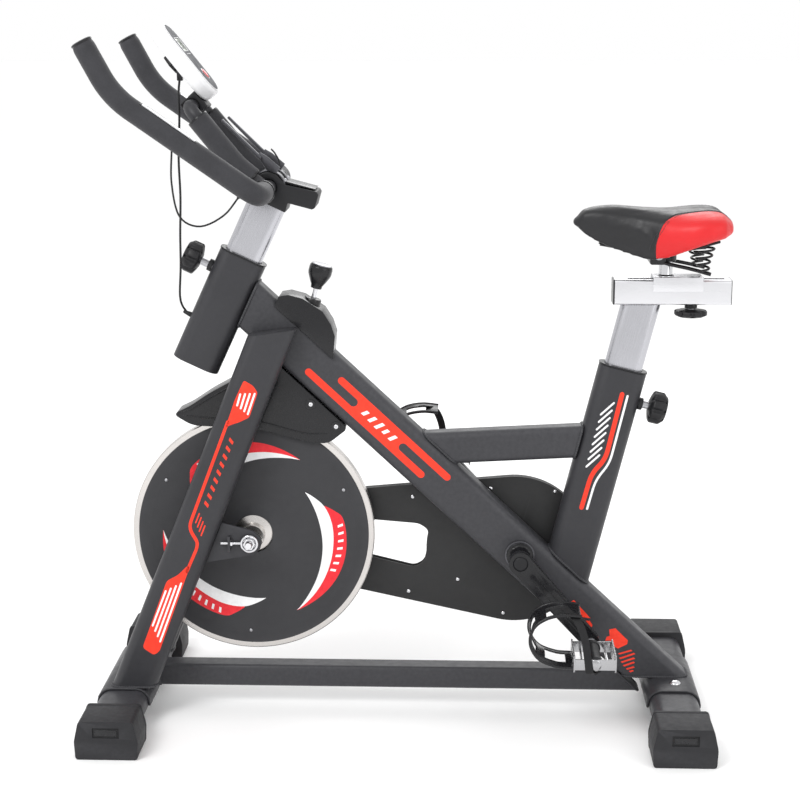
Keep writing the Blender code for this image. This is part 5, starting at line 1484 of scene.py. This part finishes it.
def build_saddle_metal():
    """Clamp on the stub, the wire chassis through it, and the two coils."""
    ring = mm((11.3, 756.2), (16, 756.2), (16.5, 756.8), (16.5, 776.8), (16, 777.4), (11.3, 777.4))
    add("saddle_clamp_ring", turned(ring, SADDLE_PIN, Z, 56, True), "gloss", "saddle_clamp")
    yoke = bake(box((0.3840, -0.0300, 0.7530), (0.4090, 0.0300, 0.7770)), bevel=0.0035)
    extra("saddle_yoke", yoke, "gloss", "saddle_clamp")
    serrated = lambda a, row: 1.0 - 0.05 * (math.sin(a * 24) > 0) if row in (2, 3) else 1.0
    for side, sign in SIDES:
        cheek = mm((0, 30), (10, 30), (12.5, 30.6), (12.5, 35), (10.5, 36.2), (0, 36.2))
        at = Vector((0.3970, 0, 0.7700))
        extra(f"yoke_cheek_{side}", turned(cheek, at, Y * sign, 96, wave=serrated), "gloss",
              "saddle_clamp")
        bolt_head(f"yoke_nut_{side}", at + Y * sign * 0.0358, Y * sign, 0.0056, "steel", "saddle_clamp",
                  "hex")
        route = mm((306, 10, 784), (335, 14, 779), (380, 24, 770), (405, 27, 757))
        route += [(0.446, 0.0330, 0.7480), (0.4660 + 0.0125, 0.0400, 0.7400)]
        rod = smooth_route([(x, y * sign, z) for x, y, z in route], 0.004)
        extra(f"saddle_rod_{side}", pipe(rod, 0.0030, 16), "gloss", "saddle_springs")
    coils = []
    for side, sign in SIDES:
        coil = []
        for i in range(181):
            t = i / 180
            a = 2 * math.pi * 4.25 * t
            r = 0.0090 + 0.0080 * max(0.0, 1.6 * t - 0.6)
            rise = min(1.0, max(0.0, (t - 0.06) / 0.88))
            coil.append(Vector((0.4660 + r * math.cos(a), sign * (0.0400 - r * math.sin(a)),
                                0.7425 + 0.0385 * rise)))
        coils.append(pipe(coil, 0.0019, 14))
    add("spring_coils", merge(coils), "gloss", "saddle_springs")
    rows = []
    for x, half in ((0.345, 0.025), (0.380, 0.036), (0.420, 0.060), (0.440, 0.067), (0.460, 0.074),
                    (0.475, 0.071), (0.488, 0.066)):
        rise = max(0.0, x - 0.42) * 0.22
        rows.append([Vector((x, y * half, z + rise)) for y, z in ((-1, 0.7778), (1, 0.7778),
                                                                  (1, 0.7813), (-1, 0.7813))])
    verts = [p for row in rows for p in row]
    last = len(verts) - 4
    faces = [(0, 1, 2, 3), (last, last + 1, last + 2, last + 3)]
    for i in range(len(rows) - 1):
        faces += bridge(4 * i, 4 * i + 4, 4)
    add("saddle_base", bake(mesh_from(verts, faces), bevel=0.0010, angle=50), "plastic", "saddle_shell")


# Saddle sections: x, half width, top, fall to the edge, belly height, skirt height, inner half width.
STATIONS = mm(
    (265, 12, 824, 8, 813, 812.5, 6), (276, 20, 837, 14, 803.5, 802, 12),
    (295, 26.5, 842.5, 20, 793, 790.5, 18), (320, 32, 843.5, 26, 783, 779, 23),
    (350, 40, 842, 30, 782, 769.5, 30), (380, 54, 839.5, 36, 782, 763, 39),
    (410, 74, 838, 38, 782, 768.5, 57), (440, 90, 839, 38, 786.6, 781.5, 72),
    (470, 95, 840.5, 34, 793.3, 792.5, 78), (495, 88, 838, 28, 799.5, 799, 70),
    (508, 68, 828, 18, 804, 803.5, 50)
)


def station_at(x):
    """Smoothly interpolated section sizes at a distance along the saddle."""
    rows = STATIONS
    if x <= rows[0][0]:
        return rows[0][1:]
    if x >= rows[-1][0]:
        return rows[-1][1:]
    i = next(n for n in range(len(rows) - 1) if rows[n + 1][0] >= x)
    t = (x - rows[i][0]) / (rows[i + 1][0] - rows[i][0])
    near = [rows[min(max(n, 0), len(rows) - 1)] for n in range(i - 1, i + 3)]
    return [spline(*(row[k] for row in near), t) for k in range(1, 7)]


def saddle_ring(x, half, top, drop, low, skirt, inner, count=40):
    points = []
    edge = top - drop
    for i in range(count + 1):
        a = math.pi * i / count
        dip = 0.0035 * math.exp(-((half * math.cos(a)) / 0.012) ** 2) * min(1.0,
                                                                            max(0.0, (x - 0.33) / 0.08))
        points.append(Vector((x, -half * math.cos(a), edge + drop * math.sin(a) ** 0.55 - dip)))
    fall = edge - skirt
    side = [(half * w, edge - fall * d) for w, d in ((0.997, 0.16), (0.988, 0.35), (0.974, 0.56),
                                                     (0.955, 0.76), (0.93, 0.90))]
    side += [(half * 0.90, skirt + fall * 0.03), (half * 0.865, skirt),
             ((half * 0.865 + inner) / 2, skirt)]
    side += [(inner, skirt + 0.0004), (inner - 0.002, low), (inner * 0.5, low)]
    right = [Vector((x, y, z)) for y, z in side]
    return points + right + [Vector((x, 0.0, low))] + [Vector((x, -y, z)) for y, z in reversed(side)]


def press_seam(vert):
    """Sinks the cover into a groove where the panel seam runs."""
    wide, deep = 0.004, 0.0009
    past = max(0.0, vert.co.x - SEAM_X - SEAM_LEAN * (vert.co.z - SEAM_Z))
    out = max(0.0, abs(vert.co.y) - SEAM_Y)
    off = past * out ** 2 / SEAM_SPREAD - 1.0
    slope = math.hypot(2 * past * out, out ** 2) / SEAM_SPREAD
    away = abs(off) / max(slope, 1.0)
    if away < wide and vert.normal.z > -0.4:
        vert.co -= vert.normal * deep * (1 - away / wide) ** 2


def build_cushion():
    nose, tail = STATIONS[0][0], STATIONS[-1][0]
    xs = [nose + (tail - nose) * i / 60 for i in range(61)]
    rings = [saddle_ring(x, *station_at(x)) for x in xs]
    ends = ((rings[0], -1), (rings[-1], 1))
    for shrink, shift in ((0.88, 0.0022), (0.66, 0.0038), (0.36, 0.0046)):
        for at, sign in ends:
            middle = sum(at, Vector()) / len(at)
            ring = [middle + (p - middle) * shrink + X * sign * shift for p in at]
            rings = [ring] + rings if sign < 0 else rings + [ring]
    count = len(rings[0])
    verts = [point for ring in rings for point in ring]
    faces = []
    for i in range(len(rings) - 1):
        faces += bridge(i * count, (i + 1) * count, count)
    faces += [tuple(range(count)), tuple(range((len(rings) - 1) * count, len(rings) * count))]
    mesh = mesh_from(verts, faces)
    mesh = puffed(mesh)
    with editing(mesh) as bm:
        for vert in bm.verts:
            press_seam(vert)
    cushion = add("saddle_cover", mesh, "vinyl", "saddle_cushion", crease=80)
    build_seams(mesh)


def puffed(mesh):
    """The cushion after a short inflation, its swell capped."""
    scene = bpy.context.scene
    most = 0.0022
    obj = new_object("soft", mesh)
    middle = Vector((0.40, 0.0, 0.812))
    for vert in mesh.vertices:
        vert.co = middle + (vert.co - middle) * 0.985
    remesh = obj.modifiers.new("even", "REMESH")
    remesh.mode = "VOXEL"
    remesh.voxel_size = 0.0045
    base = worked_out(obj)
    obj.modifiers.clear()
    obj.data = base
    rest = [v.co.copy() for v in base.vertices]
    group = obj.vertex_groups.new(name="held")
    group.add([v.index for v in base.vertices if v.co.z < 0.800 and abs(v.co.y) < 0.05], 1.0, "REPLACE")
    cloth = obj.modifiers.new("air", "CLOTH")
    cloth.settings.use_pressure = True
    cloth.settings.uniform_pressure_force = 3.0
    cloth.settings.quality = 5
    cloth.settings.tension_stiffness = 25
    cloth.settings.vertex_group_mass = "held"
    cloth.settings.effector_weights.gravity = 0.0
    cloth.collision_settings.use_self_collision = False
    for number in range(1, 13):
        scene.frame_set(number)
    out = worked_out(obj)
    for vert, start in zip(out.vertices, rest):
        move = vert.co - start
        if move.length > most:
            vert.co = start + move.normalized() * most
    scene.frame_set(1)
    bpy.data.objects.remove(obj)
    helper = new_object("fine", out)
    helper.modifiers.new("smooth", "CORRECTIVE_SMOOTH").iterations = 3
    sub = helper.modifiers.new("fine", "SUBSURF")
    sub.levels = sub.render_levels = 1
    fine = worked_out(helper)
    bpy.data.objects.remove(helper)
    return fine


def build_seams(mesh):
    """Two rows of stitches beside the panel seam."""
    bm = bmesh.new()
    bm.from_mesh(mesh)
    tree = BVHTree.FromBMesh(bm)
    bm.free()
    parts = []
    for sign in (-1, 1):
        for row in (-0.0030, 0.0030):
            points = []
            for i in range(60):
                z = 0.780 + 0.046 * i / 59
                x = 0.395
                for _ in range(4):
                    hit = tree.ray_cast(Vector((x, sign * 0.2, z)), Vector((0, -sign, 0)))
                    out = max(0.01, abs(hit[0].y) - SEAM_Y) if hit[0] else 0.04
                    x = SEAM_X + SEAM_LEAN * (z - SEAM_Z) + SEAM_SPREAD / out ** 2 + row
                if hit[0]:
                    points.append((hit[0], hit[1]))
            begin = points[-1][0].x + 0.002 if points else 0.405
            for i in range(140):
                x = begin + (0.503 - begin) * i / 139
                reach = max(0.004, x - SEAM_X - SEAM_LEAN * 0.036)
                y = SEAM_Y + math.sqrt(SEAM_SPREAD / reach)
                spot = Vector((x + row * 0.7, sign * (y + row * 0.9), 0.9))
                hit = tree.ray_cast(spot, Vector((0, 0, -1)))
                if hit[0]:
                    points.append((hit[0], hit[1]))
            parts += stitches(points)
    if parts:
        extra("saddle_stitches", merge(parts), "thread", "saddle_cushion")


def stitches(points):
    out = []
    travel, start = 0.0, None
    for (a, n), (b, m) in zip(points, points[1:]):
        step = (b - a).length
        if step > 0.008:
            travel, start = 0.0, None
            continue
        travel += step
        if start is None and travel > 0.0014:
            start, travel = (a, n), 0.0
        elif start is not None and travel > 0.0028:
            p, q = start[0] + start[1] * 0.0001, b + m * 0.0001
            mid = (p + q) / 2 + m * 0.0003
            out.append(pipe([p, mid, q], 0.00035, 6))
            start, travel = None, 0.0
    return out


# -------------------------------------------------------------------- cables
SENSOR_ROUTE = mm(
    (-353, -30, 1047), (-356, -30, 1020), (-356, -30, 980), (-359, -30, 920), (-358, -30, 860),
    (-360, -31, 800), (-360, -36, 750), (-365, -22, 700), (-363, -4, 678), (-354.5, 0, 667),
    (-347, 0, 663.5)
)
PULSE_ROUTE = mm(
    (-348, -155, 945), (-354, -130, 890), (-350, -90, 835), (-325, -50, 815), (-290, -30, 830),
    (-265, -25, 860)
)


def build_cable(name, node, route, radius, spacing):
    path = smooth_route(route, spacing)
    length = sum((b - a).length for a, b in zip(path, path[1:]))
    mesh = pipe(path, radius, 20)
    mesh.materials.append(LOOKS["cable"])
    smooth_by_angle(mesh, 50)
    obj = new_object(name, mesh)
    if node == "sensor_cable":
        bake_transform(obj)
    else:
        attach(obj, "handlebars")
    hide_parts(node)
    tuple(path[0])


def build_cables():
    build_cable("sensor_lead", "sensor_cable", SENSOR_ROUTE, 0.0018, 0.0095)
    build_cable("pulse_lead", "pulse_cable", PULSE_ROUTE, 0.0015, 0.0080)
    boot = mm((-267.5, -25.7, 856.8), (-264.5, -24.9, 860.6), (-260, -24.5, 863), (-248, -24, 864))
    extra("pulse_gland", pipe(smooth_route(boot, 0.002), 0.0026, 16), "plastic", "handlebar_clamp")
    plug = bake(box((-0.3575, -0.0345, 1.0400), (-0.3485, -0.0255, 1.0560)), bevel=0.0016, segments=3)
    extra("sensor_plug", plug, "gloss", "monitor_shell")
    sleeve = mm((1.9, 0), (4.2, 0), (4.6, 2), (4, 8), (2.8, 16), (1.9, 18))
    extra("sensor_gland", turned(sleeve, (-0.3475, 0, 0.6637), Vector((-0.9, 0, 0.42)), 32, True),
          "plastic",
        "head_tube")


# -------------------------------------------------------------------- prints
def on_main(sign):
    side, _ = cross_axes(TUBE_DIR)
    return lambda s, t, h: TUBE_TOP + TUBE_DIR * s + side * t + Y * sign * (0.025 + h)


# Print outlines: along and across the tube, measured from the photo through the fitted camera.
LOWER_PRINT = [
    mm((720.5, -8), (723.5, 4.5), (765.5, 0.5), (746.5, -12.5)),
    mm((758, -12.5), (767.5, -3.5), (776, -5.5), (778, -10), (762.5, -14.5)),
    mm((784.5, -16.5), (791.5, -14), (802.5, -18)),
    mm((801.5, 8), (807.5, 16.5), (837.5, 15.5), (841, 10), (835.5, -6), (823.5, -9), (816.5, -4.5),
       (810.5, -10.5), (807.5, -4), (810, 0.5)),
]
FAN = mm(
    (843, -12, 854, 7.5), (850, -16.5, 861.5, 7), (856.5, -19.5, 867, 1), (863.5, -21.5, 872, -4.5),
    (871.5, -22, 877.5, -10.5), (878, -22, 881, -16)
)
LOWER_PRINT += [[(a - 0.0016, b), (c - 0.0016, d), (c + 0.0016, d), (a + 0.0016, b)] for a, b, c,
                d in FAN]


def print_main():
    for side, sign in SIDES:
        place = on_main(sign)
        red = [stroke([(0.1445, -0.0130), (0.3930, -0.0130)], 0.0118, 8),
               stroke([(0.1930, 0.0130), (0.4270, 0.0130)], 0.0118, 8)]
        for i in range(14):
            t0, t1 = -0.0071 + 0.0142 * i / 14, -0.0071 + 0.0142 * (i + 1) / 14
            bow = math.sqrt(max(0.0, 0.0071 ** 2 - ((t0 + t1) / 2) ** 2))
            red.append([(0.231 + bow, t0), (0.341 - bow, t0), (0.341 - bow, t1), (0.231 + bow, t1)])
        red += LOWER_PRINT
        extra(f"main_print_{side}", slab(red, place), "red", "main_tube")
        marks = []
        for i in range(5):
            s, half = 0.2520 + 0.0150 * i, 0.0050 + 0.0011 * (i % 3)
            marks.append([(s, -half), (s + 0.0062, -half), (s + 0.0062 + half * 0.9, half),
                          (s + half * 0.9, half)])
        extra(f"main_marks_{side}", slab(marks, place, 0.0001, 0.0004), "white", "main_tube")


# Print outlines down the leg and across it, measured from the photo through the fitted camera.
LEG_PATCH_TOP = mm(
    (87.3, -10.5), (90, 8), (97.5, 20), (140.3, 22.2), (154, 8), (162, -3), (170, -10.5), (122.2, -13)
)
LEG_LINE = mm((160, -10.5), (346, -7.2), (364, 17.5), (374, 20), (416, 18.5))
LEG_PATCH_LOW = mm(
    (406, 20.5), (426, 21), (559.8, 25), (569, 18), (564, -6.3), (443, -9.1), (427, 6), (408, 15)
)


def print_legs():
    for side, sign in SIDES:
        top, foot = leg_ends(sign)
        run = (foot - top).normalized()
        across, up = cross_axes(run)
        out = up * (1 if up.y * sign > 0 else -1)
        fit = lambda t: (t - 0.0045) * 0.90
        place = lambda s, t, h: top + run * s + across * fit(t) + out * (0.020 + h)
        red = [soft_outline(LEG_PATCH_TOP, 0.004), stroke(LEG_LINE, 0.0056, 6, 0.012),
               soft_outline(LEG_PATCH_LOW, 0.006)]
        for i in range(9):
            s = 0.1820 + 0.0140 * i
            red.append([(s, 0.0030), (s + 0.0052, 0.0030), (s + 0.0100, 0.0120), (s + 0.0048, 0.0120)])
        for i in range(4):
            t = 0.0015 + 0.0058 * i
            red.append(stroke([(0.3180 + 0.0052 * i, t), (0.3340 + 0.0056 * i, t)], 0.0024, 3))
        extra(f"leg_print_{side}", slab(red, place), "red", f"fork_leg_{side}")
        white = []
        for i in range(4):
            white.append(stroke([(0.1105 - 0.0031 * i, -0.0075 + 0.0078 * i),
                                 (0.1290 + 0.0023 * i, -0.0055 + 0.0077 * i)], 0.0034, 3))
            white.append(stroke([(0.4600 - 0.0072 * i, -0.0042 + 0.0070 * i),
                                 (0.5225 + 0.0069 * i, -0.0035 + 0.0077 * i)], 0.0034, 3))
        extra(f"leg_marks_{side}", slab(white, place, 0.0001, 0.0004), "white", f"fork_leg_{side}")


def print_seat():
    across, _ = cross_axes(SEAT_AXIS)
    for side, sign in SIDES:
        fit = lambda t: (t + 0.0050) * 0.86
        place = lambda s, t, h: SEAT_BASE + SEAT_AXIS * s + across * fit(t) + Y * sign * (0.024 + h)
        red = [stroke(mm((304, -13.2), (193.5, -15.9), (165.7, 2.1), (106, 3.3)), 0.0085, 6, 0.016)]
        extra(f"seat_print_{side}", slab(red, place), "red", "seat_tube")
        white = [stroke(mm((303.5, -24), (188.4, -25.5), (156.2, -8.5), (106, -7.6)), 0.0042, 6, 0.016)]
        for i in range(8):
            s = 0.2640 - 0.0128 * i
            white.append(stroke([(s, 0.0151), (s + 0.0234, -0.0028)], 0.0034, 3))
        extra(f"seat_marks_{side}", slab(white, place), "white", "seat_tube")


def main():
    build_camera()
    build_room()
    build_cables()
    build_tubes()
    build_feet()
    build_bottom_bracket()
    build_flywheel()
    build_fender()
    build_guards()
    build_cranks()
    build_brake()
    build_handlebar()
    build_monitor()
    build_knobs()
    build_seat()
    print_main()
    print_legs()
    print_seat()


def numbers(value):
    if isinstance(value, (int, float)):
        return float(value)
    return [numbers(item) for item in value]


LOOKS = build_looks()
main()
{"cad": numbers(CAD_BOX), "visual": numbers(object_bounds())}
